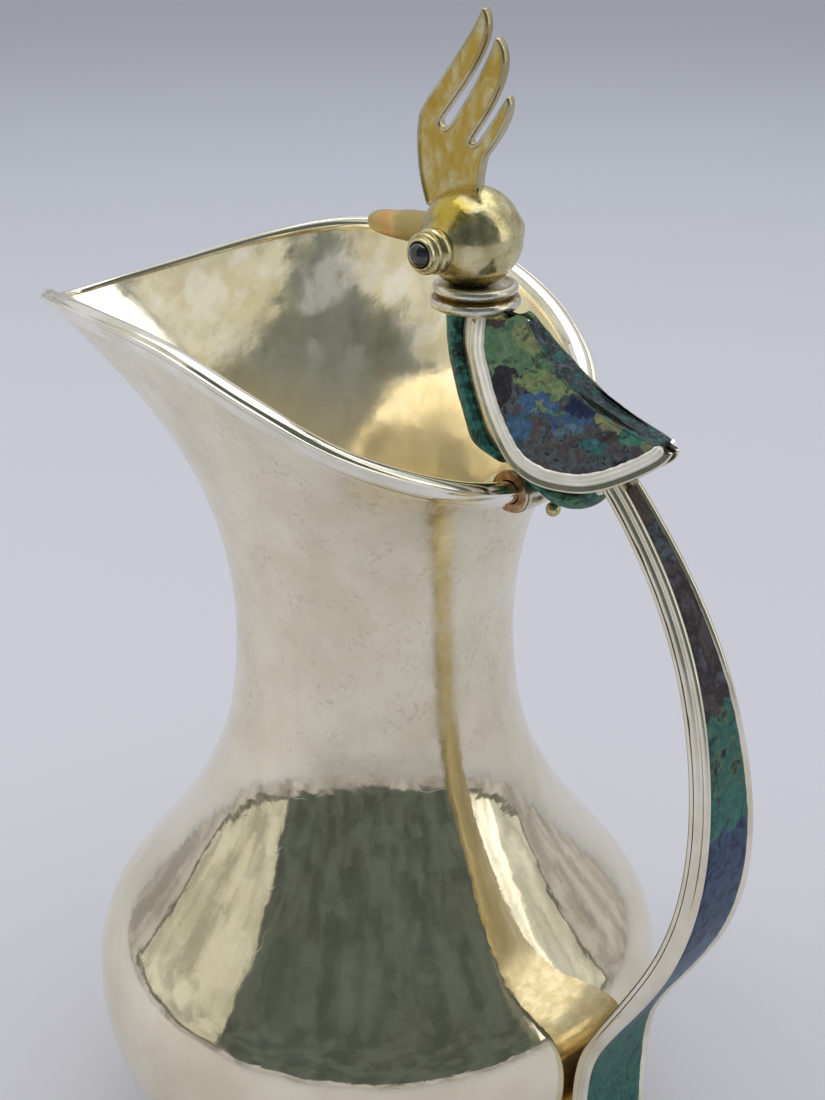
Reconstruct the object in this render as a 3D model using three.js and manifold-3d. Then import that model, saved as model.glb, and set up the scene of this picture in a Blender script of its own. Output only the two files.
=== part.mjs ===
// A silver water pitcher whose handle is a crested parrot inlaid with green and blue stone.
// Millimetres, +Z up, origin on the axis of the vessel at the plane it stands on.
// +X points at the handle, -X at the spout, and the object is symmetric about the XZ plane.
import * as THREE from 'three';
import Module from 'manifold-3d';
import { mergeVertices } from 'three/addons/utils/BufferGeometryUtils.js';

const wasm = await Module();
wasm.setup();

// ---------- driving dimensions ----------
const GAP = 0.3; // play left between pieces that are soldered or cemented together

// Vessel: a raised silver shell.
const SHEET = 1.25;
const BASE_RADIUS = 44;
const BASE_HEIGHT = 3.2;
const NECK_RADIUS = 35.1;
const NECK_HEIGHT = 156;
const AROUND = 52;
const BODY_ROWS = 14;
const FLARE_ROWS = 8;
// Outer wall from the base to the narrowest place of the neck, as radius and height.
const BODY_PROFILE = [
  [BASE_RADIUS, BASE_HEIGHT], [56.5, 10.5], [67, 24], [74.4, 42], [76.3, 60], [73.6, 72], [66.6, 82],
  [55.3, 96], [45.9, 111], [39.4, 126], [36.1, 141], [NECK_RADIUS, NECK_HEIGHT],
];
// One half of the rim: the centre of its wire, from behind the handle round to the tip of the spout.
const RIM_HALF = [
  [48.2, 0, 206], [45.6, 16.6, 208.4], [39.4, 31.9, 214], [29, 44.6, 221], [12.5, 52.7, 230.3],
  [-10, 55.9, 238.6], [-34.8, 55.4, 241.8], [-55.4, 49.8, 241], [-72.5, 38.4, 236.8],
  [-97, 20.4, 227.6], [-108, 9.8, 223.2], [-112.6, 0, 221.2],
];
const WIRE_RADIUS = 2.7;
const WIRE_TIP_RADIUS = 1.2;
const WIRE_STEPS = 60;
const RIM_OPENING = 0.002; // fraction of the rim left open where the two ends of the wire meet

// Base plate, and the loop that ties the bird to the rim.
const PLATE_RADIUS = 45.9;
const PLATE_HEIGHT = BASE_HEIGHT - GAP;
const LOOP_WIDTH = 11;
const LOOP_INNER = WIRE_RADIUS + 0.6;
const LOOP_OUTER = 5.1;
const LOOP_SLOT_MIDDLE = THREE.MathUtils.degToRad(228);
const LOOP_SLOT_HALF = THREE.MathUtils.degToRad(34);
const TAB_SIZE = [5.4, 9, 0.9];
const TAB_TILT = 0.2;
const TAB_CENTRE = [39.4, 0, 204.6];
const BEAD_RADIUS = 1.8;
const BEAD_CENTRE = [54.7, 0, 202.1];

// Bird.
const HEAD = new THREE.Vector3(30, 0, 261);
const HEAD_RADIUS = 11.6;
const COLLAR_X = 31.2;
const COLLAR_BOTTOM = 245.1;
const CREST_THICKNESS = 2.4;
const EYE_X = 28.6;
const EYE_Z = 259.7;
const EYE_FACE = 18.2;

// Each wing is a flat leaf, leaning in towards the ridge of the back: |y| = 112.6 - 0.205 x - 0.41 z.
const WING_OFFSET = 112.6;
const WING_LEAN_X = 0.205;
const WING_LEAN_Z = 0.41;
const WING_PLATE = 0.85;
const WING_BEZEL = 1.3;
const WING_STONE = 1.1;
const WING_STACK = WING_PLATE + GAP + WING_BEZEL;
const BEZEL_OUTSET = 1.5;
const BEZEL_WIDTH = 2.1;

// Handle: a curved silver channel with stone laid in it. Points run down its outer face.
const HANDLE_PATH = [
  [74, 215], [78.4, 210], [83.6, 203.2], [89.1, 195.2], [95.2, 184.2], [99.9, 173], [103.4, 161],
  [105.7, 149], [106.8, 137], [106.5, 125], [104.5, 113], [100.3, 100.5], [93.8, 88.5], [87, 77.5],
  [82.2, 68], [80.6, 58], [80.6, 47], [82.2, 36.5], [86, 27.5],
];
const HANDLE_DEPTH = 5.2;
const FOOT_DEPTH = 3.9;
const HANDLE_BACK = 1.2;
const HANDLE_WALL = 1.9;
const STONE_RECESS = 0.5;
const HANDLE_STEPS = 44;
const STONE_ENDS = [0.015, 0.065, 0.1, 0.275, 0.37, 0.42, 0.585, 0.78, 0.965];

// ---------- materials ----------
const silver = new THREE.MeshStandardMaterial({ color: 0xc9c3b2, roughness: 0.28, metalness: 1 });
const wornSilver = new THREE.MeshStandardMaterial({ color: 0xb9b3a5, roughness: 0.38, metalness: 1 });
const brass = new THREE.MeshStandardMaterial({ color: 0xb79a4b, roughness: 0.35, metalness: 1 });
const ochre = new THREE.MeshStandardMaterial({ color: 0xa9762c, roughness: 0.5, metalness: 0.6 });
const onyx = new THREE.MeshStandardMaterial({ color: 0x0b0b0c, roughness: 0.08, metalness: 0 });
const greenStone = new THREE.MeshStandardMaterial({ color: 0x2f6b4f, roughness: 0.4, metalness: 0 });
const blueStone = new THREE.MeshStandardMaterial({ color: 0x22346b, roughness: 0.4, metalness: 0 });
const darkStone = new THREE.MeshStandardMaterial({ color: 0x3a3038, roughness: 0.45, metalness: 0 });

const pitcher = new THREE.Group();
pitcher.name = 'pitcher';

function add(name, geometry, material) {
  const mesh = new THREE.Mesh(geometry, material);
  mesh.name = name;
  pitcher.add(mesh);
  return mesh;
}

// ---------- shape helpers ----------

// A closed solid through rings of points, capped at both ends.
function loft(rings) {
  const count = rings[0].length;
  const points = rings.flat();
  const first = points.push(centreOf(rings[0])) - 1;
  const last = points.push(centreOf(rings.at(-1))) - 1;
  const top = (rings.length - 1) * count;
  const faces = [];
  for (let j = 0; j < count; j += 1) {
    const next = (j + 1) % count;
    for (let i = 0; i < rings.length - 1; i += 1) {
      const a = i * count + j;
      const b = i * count + next;
      faces.push(a, b, b + count, a, b + count, a + count);
    }
    faces.push(first, next, j, last, top + j, top + next);
  }
  const geometry = new THREE.BufferGeometry().setFromPoints(points);
  geometry.setIndex(faces);
  if (volumeOf(geometry) < 0) geometry.setIndex(faces.reverse());
  return geometry;
}

function centreOf(ring) {
  const sum = new THREE.Vector3();
  ring.forEach((point) => sum.add(point));
  return sum.divideScalar(ring.length);
}

function volumeOf(geometry) {
  const corner = [new THREE.Vector3(), new THREE.Vector3(), new THREE.Vector3()];
  const index = geometry.index;
  let sum = 0;
  for (let i = 0; i < index.count; i += 3) {
    corner.forEach((point, k) => point.fromBufferAttribute(geometry.attributes.position, index.getX(i + k)));
    sum += corner[0].dot(corner[1].cross(corner[2]));
  }
  return sum;
}

function toManifold(geometry) {
  const bare = geometry.clone();
  bare.deleteAttribute('normal');
  bare.deleteAttribute('uv');
  const merged = mergeVertices(bare, 1e-3);
  return new wasm.Manifold(new wasm.Mesh({
    numProp: 3,
    vertProperties: new Float32Array(merged.attributes.position.array),
    triVerts: new Uint32Array(merged.index.array),
  }));
}

function cut(geometry, ...tools) {
  let body = toManifold(geometry);
  for (const tool of tools) body = body.subtract(toManifold(tool));
  const mesh = body.getMesh();
  const result = new THREE.BufferGeometry();
  result.setAttribute('position', new THREE.BufferAttribute(mesh.vertProperties, 3));
  result.setIndex(new THREE.BufferAttribute(mesh.triVerts, 1));
  return result;
}

// Moves every point of a geometry.
function reshape(geometry, place) {
  const position = geometry.attributes.position;
  const point = new THREE.Vector3();
  for (let i = 0; i < position.count; i += 1) {
    point.fromBufferAttribute(position, i);
    place(point);
    position.setXYZ(i, point.x, point.y, point.z);
  }
  return geometry;
}

function turned(profile, segments = 32) {
  return new THREE.LatheGeometry(profile.map(([r, z]) => new THREE.Vector2(r, z)), segments);
}

// A turned solid stood upright at (x, z) on the plane of symmetry.
function upright(profile, x, segments) {
  return turned(profile, segments).rotateX(Math.PI / 2).translate(x, 0, 0);
}

function spline2(points) {
  return new THREE.SplineCurve(points.map(([u, v]) => new THREE.Vector2(u, v)));
}

function headSphere(extra) {
  const sphere = new THREE.SphereGeometry(HEAD_RADIUS + extra, 24, 16);
  return sphere.rotateX(Math.PI / 2).translate(HEAD.x, HEAD.y, HEAD.z);
}

// ---------- vessel ----------

const rimCurve = new THREE.CatmullRomCurve3([
  ...RIM_HALF.map(([x, y, z]) => new THREE.Vector3(x, y, z)),
  ...RIM_HALF.slice(1, -1).reverse().map(([x, y, z]) => new THREE.Vector3(x, -y, z)),
], true, 'centripetal');

// 0 behind the handle, 1 at the tip of the spout, whichever way round.
function towardsSpout(u) {
  return 1 - Math.abs(1 - 2 * u);
}

function wireRadius(u) {
  const taper = THREE.MathUtils.smoothstep(towardsSpout(u), 0.4, 0.95);
  return THREE.MathUtils.lerp(WIRE_RADIUS, WIRE_TIP_RADIUS, taper);
}

// Slope of the flared wall at the rim, from level: steep at the sides, shallow at handle and spout.
function flareSlope(u) {
  const t = towardsSpout(u);
  const sides = 48 + 14 * Math.sin(Math.PI * Math.min(t / 0.8, 1));
  return THREE.MathUtils.degToRad(THREE.MathUtils.lerp(sides, 42, THREE.MathUtils.smoothstep(t, 0.6, 1)));
}

// The outer wall over one point of the rim, as radius and height from the neck to the rim.
function flareCurve(u) {
  const rim = rimCurve.getPointAt(u);
  const slope = flareSlope(u);
  const along = new THREE.Vector2(Math.cos(slope), Math.sin(slope));
  const end = new THREE.Vector2(Math.hypot(rim.x, rim.y), rim.z).addScaledVector(along, -wireRadius(u) - GAP);
  end.addScaledVector(new THREE.Vector2(along.y, -along.x), SHEET / 2);
  const start = new THREE.Vector2(NECK_RADIUS, NECK_HEIGHT);
  const reach = start.distanceTo(end);
  return new THREE.CubicBezierCurve(
    start,
    start.clone().add(new THREE.Vector2(0, 0.56 * (end.y - start.y))),
    end.clone().addScaledVector(along, -0.18 * reach),
    end,
  );
}

// Points along a wall, each moved inwards along the wall's normal.
function wallPoints(curve, rows, inset) {
  const points = [];
  for (let i = 0; i <= rows; i += 1) {
    const tangent = curve.getTangentAt(i / rows);
    const normal = new THREE.Vector2(tangent.y, -tangent.x);
    points.push(curve.getPointAt(i / rows).addScaledVector(normal, -inset));
  }
  return points;
}

function vesselShell() {
  const body = spline2(BODY_PROFILE);
  const columns = [];
  for (let k = 0; k < AROUND; k += 1) {
    const u = k / AROUND;
    const rim = rimCurve.getPointAt(u);
    const flare = flareCurve(u);
    const outside = [...wallPoints(body, BODY_ROWS, 0), ...wallPoints(flare, FLARE_ROWS, 0).slice(1)];
    const inside = [...wallPoints(body, BODY_ROWS, SHEET), ...wallPoints(flare, FLARE_ROWS, SHEET).slice(1)];
    inside[0].set(BASE_RADIUS - SHEET, BASE_HEIGHT + SHEET);
    columns.push({ azimuth: Math.atan2(rim.y, rim.x), wall: [...outside, ...inside.reverse()] });
  }
  return loft(columns[0].wall.map((_, row) => columns.map(({ azimuth, wall }) => new THREE.Vector3(
    wall[row].x * Math.cos(azimuth), wall[row].x * Math.sin(azimuth), wall[row].y,
  ))));
}

function rimWire() {
  const rings = [];
  for (let i = 0; i <= WIRE_STEPS; i += 1) {
    const u = THREE.MathUtils.lerp(RIM_OPENING, 1 - RIM_OPENING, i / WIRE_STEPS);
    const centre = rimCurve.getPointAt(u);
    const tangent = rimCurve.getTangentAt(u);
    const side = new THREE.Vector3(0, 0, 1).cross(tangent).normalize();
    const up = tangent.clone().cross(side);
    rings.push(Array.from({ length: 8 }, (_, j) => {
      const angle = (j / 8) * 2 * Math.PI;
      const radius = wireRadius(u);
      return centre.clone()
        .addScaledVector(side, radius * Math.cos(angle))
        .addScaledVector(up, radius * Math.sin(angle));
    }));
  }
  return loft(rings);
}

function addVessel() {
  add('vessel_shell', vesselShell(), silver);
  const plate = [[0, 0], [PLATE_RADIUS - 0.5, 0], [PLATE_RADIUS, 1.2], [PLATE_RADIUS - 1.1, PLATE_HEIGHT],
    [0, PLATE_HEIGHT]];
  add('base_plate', upright(plate, 0, 48), silver);
  add('rim_wire', rimWire(), silver);
}

// ---------- loop between the rim and the bird ----------

function addLoop() {
  const [x, , z] = RIM_HALF[0];
  const from = LOOP_SLOT_MIDDLE + LOOP_SLOT_HALF;
  const to = LOOP_SLOT_MIDDLE - LOOP_SLOT_HALF + 2 * Math.PI;
  const shape = new THREE.Shape();
  shape.absarc(0, 0, LOOP_OUTER, from, to, false);
  shape.absarc(0, 0, LOOP_INNER, to, from, true);
  const options = { depth: LOOP_WIDTH, bevelEnabled: false, curveSegments: 20 };
  const loop = new THREE.ExtrudeGeometry(shape, options);
  loop.rotateX(Math.PI / 2).translate(x, LOOP_WIDTH / 2, z);
  add('rim_loop', loop, wornSilver);
  add('loop_tab', new THREE.BoxGeometry(...TAB_SIZE).rotateY(TAB_TILT).translate(...TAB_CENTRE), brass);
  add('loop_bead', new THREE.SphereGeometry(BEAD_RADIUS, 14, 10).translate(...BEAD_CENTRE), brass);
}

// ---------- head, beak, crest, eyes and collar ----------

// Stations of the beak from the head to its tip: place along X, half height, half width and rise, all
// from the centre of the head.
const BEAK_STATIONS = [
  [-11, 4.1, 3.5, -0.6], [-17, 3.8, 3.3, -0.6], [-22, 3.4, 3, -0.9], [-26.5, 2.9, 2.5, -1],
  [-29.3, 2.1, 1.8, -1.1], [-30.6, 0.9, 0.8, -1.2],
];

function beak() {
  const rings = BEAK_STATIONS.map(([x, tall, wide, rise]) => Array.from({ length: 14 }, (_, j) => {
    const angle = (j / 14) * 2 * Math.PI;
    return new THREE.Vector3(x, wide * Math.cos(angle), rise + tall * Math.sin(angle)).add(HEAD);
  }));
  return cut(loft(rings), headSphere(GAP));
}

function crest() {
  const outline = new THREE.Shape();
  outline.moveTo(17.6, 266);
  outline.bezierCurveTo(14.4, 273, 14, 281, 15.3, 286.4);
  outline.bezierCurveTo(18, 291.6, 29.4, 303, 32.8, 310.6);
  outline.bezierCurveTo(37.6, 305.6, 30.2, 296.6, 21, 285.4);
  outline.bezierCurveTo(21.4, 283.4, 22.8, 283.4, 24.2, 285.2);
  outline.bezierCurveTo(28.8, 291, 33.2, 297.4, 36.4, 304.8);
  outline.bezierCurveTo(42.4, 300.2, 36.6, 291, 29.7, 282.2);
  outline.bezierCurveTo(29.8, 280.8, 31, 280.8, 32.2, 282.6);
  outline.bezierCurveTo(34.8, 285.8, 37.4, 289.4, 39.9, 293);
  outline.bezierCurveTo(42.4, 289.4, 36.8, 282.4, 33.9, 279.2);
  outline.bezierCurveTo(32.7, 275.6, 32.3, 272.4, 32.8, 268);
  outline.closePath();
  const options = { depth: CREST_THICKNESS, bevelEnabled: false, curveSegments: 7 };
  const plate = new THREE.ExtrudeGeometry(outline, options);
  return cut(plate.rotateX(Math.PI / 2).translate(0, CREST_THICKNESS / 2, 0), headSphere(GAP));
}

// Eye pieces are turned about the line through the head, and face away from it on side -1 or 1.
function eyePiece(profile, side) {
  return turned(profile, 24).rotateX(side > 0 ? 0 : Math.PI).translate(EYE_X, 0, EYE_Z);
}

function addEyes() {
  const cup = [[0, 8], [4.5, 8], [5, 9.6], [5.15, 12], [4.8, 13.3], [0, 13.3]];
  const bezel = [[3.1, 13.6], [4.5, 13.6], [4.75, 14.8], [4.4, 16.2], [3.7, 16.8], [3.1, 16.4], [3.1, 13.6]];
  const stone = [[0, 13.6], [2.8, 13.6], [2.8, 16.6], [2.2, 17.6], [1.2, EYE_FACE - 0.1], [0, EYE_FACE]];
  for (const [label, side] of [['left', -1], ['right', 1]]) {
    add(`eye_cup_${label}`, cut(eyePiece(cup, side), headSphere(GAP)), brass);
    add(`eye_bezel_${label}`, eyePiece(bezel, side), brass);
    add(`eye_stone_${label}`, eyePiece(stone, side), onyx);
  }
}

function addHead() {
  add('head', headSphere(0), brass);
  add('beak', beak(), ochre);
  add('crest', crest(), brass);
  addEyes();
  const low = COLLAR_BOTTOM;
  const lower = [[0, low], [9.2, low], [10.3, low + 0.9], [10.3, low + 2.1], [9.3, low + 2.9],
    [0, low + 2.9]];
  const upper = [[0, low + 3.2], [9, low + 3.2], [9.7, low + 3.9], [9.6, low + 5.2], [8.6, low + 6],
    [6.8, low + 6.1], [3.6, low + 4.4], [0, low + 3.8]];
  add('collar_lower', upright(lower, COLLAR_X), wornSilver);
  add('collar_upper', cut(upright(upper, COLLAR_X), headSphere(GAP)), wornSilver);
}

// ---------- body of the bird ----------

// Stations from the collar to the tail: ridge of the back, edge of the wing and keel, each as x and z,
// and the half width at the edge of the wing.
const BODY_STATIONS = [
  { ridge: [42, 243.8], edge: [33.6, 244.3], keel: [23.6, 244.3], half: 5.4 },
  { ridge: [45.5, 241.4], edge: [35, 237.6], keel: [24.8, 236.8], half: 7.4 },
  { ridge: [50, 238.8], edge: [39.1, 230.6], keel: [27.2, 229], half: 9 },
  { ridge: [55, 235.8], edge: [42.9, 224.9], keel: [30.6, 221.4], half: 10.4 },
  { ridge: [59, 233.2], edge: [47.5, 219.5], keel: [34, 215], half: 11.4 },
  { ridge: [62.5, 230.8], edge: [52.1, 215.6], keel: [42.6, 213.2], half: 11.8 },
  { ridge: [66, 229.4], edge: [57, 213.9], keel: [50.6, 210.8], half: 11.8 },
  { ridge: [69, 228.4], edge: [63, 213.1], keel: [58.2, 205.4], half: 11 },
  { ridge: [71, 227.4], edge: [67.4, 213.5], keel: [64, 205.2], half: 9.2 },
  { ridge: [72, 224], edge: [70, 215.2], keel: [68, 207.4], half: 6 },
];
const INLAY_DEPTH = 2.2;

// Half of an ellipse under a station, from one wing to the other across the keel.
function keelArc({ edge, keel, half }, inset, steps, sweep = 90) {
  const reach = Math.hypot(keel[0] - edge[0], keel[1] - edge[1]);
  return Array.from({ length: steps + 1 }, (_, i) => {
    const angle = THREE.MathUtils.degToRad(THREE.MathUtils.lerp(-sweep, sweep, i / steps));
    const fall = ((reach - inset) / reach) * Math.cos(angle);
    return new THREE.Vector3(
      THREE.MathUtils.lerp(edge[0], keel[0], fall),
      (half - inset) * Math.sin(angle),
      THREE.MathUtils.lerp(edge[1], keel[1], fall),
    );
  });
}

// Half width left between the wings at a place in the XZ plane.
function betweenWings(x, z) {
  const lean = Math.hypot(1, WING_LEAN_X, WING_LEAN_Z);
  return WING_OFFSET - WING_LEAN_X * x - WING_LEAN_Z * z - (WING_STACK + GAP) * lean;
}

function bodyCore(tools) {
  const rings = BODY_STATIONS.map((station) => {
    const under = keelArc(station, INLAY_DEPTH + GAP, 8);
    const room = Math.max(betweenWings(...station.edge), 1);
    const squeeze = Math.min(1, room / under.at(-1).y);
    under.forEach((point) => point.setY(point.y * squeeze));
    const [x, z] = station.ridge;
    const top = Math.max(betweenWings(x, z), 0.5);
    return [...under, new THREE.Vector3(x, top, z), new THREE.Vector3(x, -top, z)];
  });
  return cut(loft(rings), ...tools);
}

function keelInlay(stations, sweep) {
  return loft(stations.map((station) => [
    ...keelArc(station, 0, 10, sweep),
    ...keelArc(station, INLAY_DEPTH, 10, sweep).reverse(),
  ]));
}

// The narrow strip that covers the joint of the wings behind the collar.
function backInlay() {
  const stations = [[46, 248.2, 2.6], [50.8, 244.2, 2.6], [55.9, 240.1, 2.3], [61.4, 236, 1.4]];
  return loft(stations.map(([x, z, half]) => [
    new THREE.Vector3(x - 0.6, -half, z - 1), new THREE.Vector3(x - 0.6, half, z - 1),
    new THREE.Vector3(x, half * 0.8, z), new THREE.Vector3(x, -half * 0.8, z),
  ]));
}

function addBirdBody() {
  const [x, , z] = RIM_HALF[0];
  const loopRoom = new THREE.CylinderGeometry(LOOP_OUTER + GAP, LOOP_OUTER + GAP, LOOP_WIDTH + 30, 28);
  loopRoom.translate(x, 0, z);
  add('bird_body', bodyCore([loopRoom]), wornSilver);
  add('breast_inlay', keelInlay(BODY_STATIONS.slice(0, 6), 62), greenStone);
  add('belly_inlay', cut(keelInlay(BODY_STATIONS.slice(6), 62), loopRoom), greenStone);
  add('back_inlay', backInlay(), darkStone);
}

// ---------- wings ----------

const WING_BORDER = [
  [33.8, 244.3], [35.2, 237.4], [39.1, 230.5], [42.9, 224.8], [47.5, 219.4], [52.1, 215.4], [59.3, 212.9],
  [67.7, 212.9], [73, 214.3], [77.8, 216.7], [82.4, 219.6], [85.9, 222.5], [86.6, 224.6],
];
const WING_RIDGE = [
  [46.2, 246.4], [49.5, 243], [53, 239.8], [57, 236.6], [61, 233.7], [66, 230.6], [72, 228.4],
  [78.5, 226.6], [84, 225.2],
];
const WING_TOP = [[44.2, 246.4], [42.1, 244.3]];
// Where the stones of a wing part: fractions of the way along its border, and along its ridge.
const BORDER_SPLITS = [0, 0.2, 0.4, 0.6, 0.8, 1];
const RIDGE_SPLITS = [0, 0.16, 0.4, 0.62, 0.84, 1];

function borderPoints(from, to, steps, inset) {
  const curve = spline2(WING_BORDER);
  return Array.from({ length: steps + 1 }, (_, i) => {
    const u = THREE.MathUtils.lerp(from, to, i / steps);
    const tangent = curve.getTangentAt(u);
    const inwards = new THREE.Vector2(-tangent.y, tangent.x);
    return curve.getPointAt(u).addScaledVector(inwards, inset);
  });
}

function ridgePoints(from, to, steps, drop) {
  const curve = spline2(WING_RIDGE);
  return Array.from({ length: steps + 1 }, (_, i) => {
    const point = curve.getPointAt(THREE.MathUtils.lerp(from, to, i / steps));
    return point.setY(point.y - drop);
  });
}

// A plate with the given outline in the plane of the wing, between two depths under its outer face.
function wingPlate(outline, top, bottom, side) {
  const shape = new THREE.Shape(outline);
  const plate = new THREE.ExtrudeGeometry(shape, { depth: 1, bevelEnabled: false });
  const normal = new THREE.Vector3(WING_LEAN_X, 1, WING_LEAN_Z).normalize();
  reshape(plate, (point) => {
    const depth = THREE.MathUtils.lerp(top, bottom, point.z);
    const y = WING_OFFSET - WING_LEAN_X * point.x - WING_LEAN_Z * point.y;
    point.set(point.x - normal.x * depth, side * (y - normal.y * depth), point.y - normal.z * depth);
  });
  plate.deleteAttribute('normal');
  plate.deleteAttribute('uv');
  const solid = mergeVertices(plate, 1e-3);
  if (volumeOf(solid) < 0) solid.setIndex([...solid.index.array].reverse());
  // The two wings meet in a mitre along the ridge.
  const otherSide = new THREE.BoxGeometry(200, 60, 200).translate(60, -side * (30 - GAP / 2), 230);
  return cut(solid, otherSide);
}

function addWing(label, side) {
  const nape = WING_TOP.map(([x, z]) => new THREE.Vector2(x, z));
  const back = [...borderPoints(0, 1, 30, 0), ...ridgePoints(0, 1, 12, 0).reverse(), ...nape];
  add(`wing_plate_${label}`, wingPlate(back, WING_BEZEL + GAP, WING_STACK, side), wornSilver);
  const bezel = [...borderPoints(0.012, 0.985, 30, BEZEL_OUTSET),
    ...borderPoints(0.012, 0.93, 30, BEZEL_OUTSET + BEZEL_WIDTH).reverse()];
  add(`wing_bezel_${label}`, wingPlate(bezel, 0, WING_BEZEL, side), silver);
  const inner = BEZEL_OUTSET + BEZEL_WIDTH + GAP;
  const materials = [greenStone, darkStone, blueStone, darkStone, greenStone];
  materials.forEach((material, k) => {
    const corner = k === 0 ? nape.map((point) => point.clone().setY(point.y - GAP)) : [];
    const stone = [
      ...borderPoints(BORDER_SPLITS[k] * 0.9 + 0.006, BORDER_SPLITS[k + 1] * 0.9 - 0.006, 6, inner),
      ...ridgePoints(RIDGE_SPLITS[k] + 0.01, RIDGE_SPLITS[k + 1] - 0.01, 4, GAP).reverse(),
      ...corner,
    ];
    const solid = wingPlate(stone, WING_BEZEL - WING_STONE, WING_BEZEL, side);
    add(`wing_stone_${label}_${k + 1}`, solid, material);
  });
}

// ---------- handle ----------

const handleCurve = spline2(HANDLE_PATH);

function handleHalfWidth(s) {
  const full = 7 + 21 * THREE.MathUtils.smoothstep(s, -0.05, 0.75);
  const tip = Math.max(0, (s - 0.86) / 0.145);
  return 0.5 * full * Math.sqrt(1 - tip ** 2);
}

// How deep the channel is: it thins where it lies along the vessel.
function handleDepth(s) {
  return THREE.MathUtils.lerp(HANDLE_DEPTH, FOOT_DEPTH, THREE.MathUtils.smoothstep(s, 0.6, 0.8));
}

// A bar that follows the handle. Its sides are given by the half width of the handle, and its top and
// bottom by the depth of the handle, both measured from the middle of the outer face.
function handleBar(from, to, low, high, top, bottom) {
  const steps = Math.max(3, Math.ceil((to - from) * HANDLE_STEPS));
  const rings = [];
  for (let i = 0; i <= steps; i += 1) {
    const s = THREE.MathUtils.lerp(from, to, i / steps);
    const point = handleCurve.getPointAt(s);
    const tangent = handleCurve.getTangentAt(s);
    const half = handleHalfWidth(s);
    const depth = handleDepth(s);
    const place = (y, down) => new THREE.Vector3(point.x + tangent.y * down, y, point.y - tangent.x * down);
    const corner = (side, face) => place(side(half), face(depth));
    rings.push([corner(low, bottom), corner(high, bottom), corner(high, top), corner(low, top)]);
  }
  return loft(rings);
}

function addHandle() {
  const inner = HANDLE_WALL + GAP;
  const face = () => 0;
  const plateTop = (depth) => depth - HANDLE_BACK;
  const seat = (depth) => depth - HANDLE_BACK - GAP;
  const sunk = () => STONE_RECESS;
  add('handle_back', handleBar(0, 1, (h) => -h, (h) => h, plateTop, (depth) => depth), wornSilver);
  const wallEnd = 0.975;
  add('handle_wall_left', handleBar(0, wallEnd, (h) => -h, (h) => HANDLE_WALL - h, face, seat), silver);
  add('handle_wall_right', handleBar(0, wallEnd, (h) => h - HANDLE_WALL, (h) => h, face, seat), silver);
  const materials = [
    darkStone, darkStone, darkStone, greenStone, greenStone, blueStone, blueStone, greenStone,
  ];
  materials.forEach((material, k) => {
    const from = STONE_ENDS[k] + 0.001;
    const to = STONE_ENDS[k + 1] - 0.001;
    const solid = handleBar(from, to, (h) => inner - h, (h) => h - inner, sunk, seat);
    add(`handle_stone_${k + 1}`, solid, material);
  });
}

addVessel();
addLoop();
addHead();
addBirdBody();
addWing('left', -1);
addWing('right', 1);
addHandle();

export default pitcher;
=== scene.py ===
"""A silver water pitcher with a bird handle, inlaid with stone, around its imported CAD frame.

Lengths are in millimetres in the shape functions and become metres when a mesh is made. The axis of the
vessel is the Z axis, +X points at the handle, and the pitcher is symmetric about the XZ plane.
"""

import math
from functools import partial

import bmesh
import bpy
import numpy as np
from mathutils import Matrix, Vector, geometry, noise


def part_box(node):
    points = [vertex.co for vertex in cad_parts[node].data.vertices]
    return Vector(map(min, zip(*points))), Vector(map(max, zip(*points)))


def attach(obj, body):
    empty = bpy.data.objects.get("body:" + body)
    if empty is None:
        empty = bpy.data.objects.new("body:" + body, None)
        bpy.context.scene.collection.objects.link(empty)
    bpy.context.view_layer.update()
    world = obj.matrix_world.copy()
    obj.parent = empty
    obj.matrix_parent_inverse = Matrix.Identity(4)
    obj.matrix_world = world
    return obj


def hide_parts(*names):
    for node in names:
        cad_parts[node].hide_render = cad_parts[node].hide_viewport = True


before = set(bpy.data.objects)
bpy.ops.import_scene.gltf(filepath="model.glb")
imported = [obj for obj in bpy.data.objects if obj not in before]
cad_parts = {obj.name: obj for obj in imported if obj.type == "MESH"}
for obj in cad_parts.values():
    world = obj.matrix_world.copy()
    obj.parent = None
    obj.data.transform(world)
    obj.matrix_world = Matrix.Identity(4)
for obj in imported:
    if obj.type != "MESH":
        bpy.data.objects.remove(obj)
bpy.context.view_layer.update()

MM = 0.001
UP = np.array([0, 0, 1])
SIDES = (("left", -1), ("right", 1))
scene = bpy.context.scene


# ---------- places taken from the frame ----------


def node_box(name):
    """The lowest and highest corners of a CAD node, in millimetres."""
    low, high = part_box(name)
    return np.array(low) / MM, np.array(high) / MM


def node_centre(name):
    return sum(node_box(name)) / 2


def node_size(name):
    low, high = node_box(name)
    return high - low


HEAD = node_centre("head")
HEAD_RADIUS = node_size("head")[2] / 2
COLLAR_X = node_centre("collar_lower")[0]
COLLAR_LOW = node_box("collar_lower")[0][2]
EYE = node_centre("eye_stone_left")
CREST_THICKNESS = node_size("crest")[1]
LOOP_WIDTH = node_size("rim_loop")[1]


# ---------- curves ----------

SPANS = 60  # steps between two given points of a curve
TRACK_POINTS = 480


def blur(points, width, closed=False):
    """Points smoothed along their row by a bell curve some points wide. Open ends stay where they are."""
    points = np.asarray(points, float)
    reach = int(3 * width) + 1
    weights = np.exp(-0.5 * (np.arange(-reach, reach + 1) / width) ** 2)
    weights /= weights.sum()
    if closed:
        padded = np.concatenate([points[-reach:], points, points[:reach]])
    else:
        before = 2 * points[0] - points[reach:0:-1]
        after = 2 * points[-1] - points[-2 : -reach - 2 : -1]
        padded = np.concatenate([before, points, after])
    return np.stack([np.convolve(c, weights, "valid") for c in padded.T], axis=1)


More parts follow.
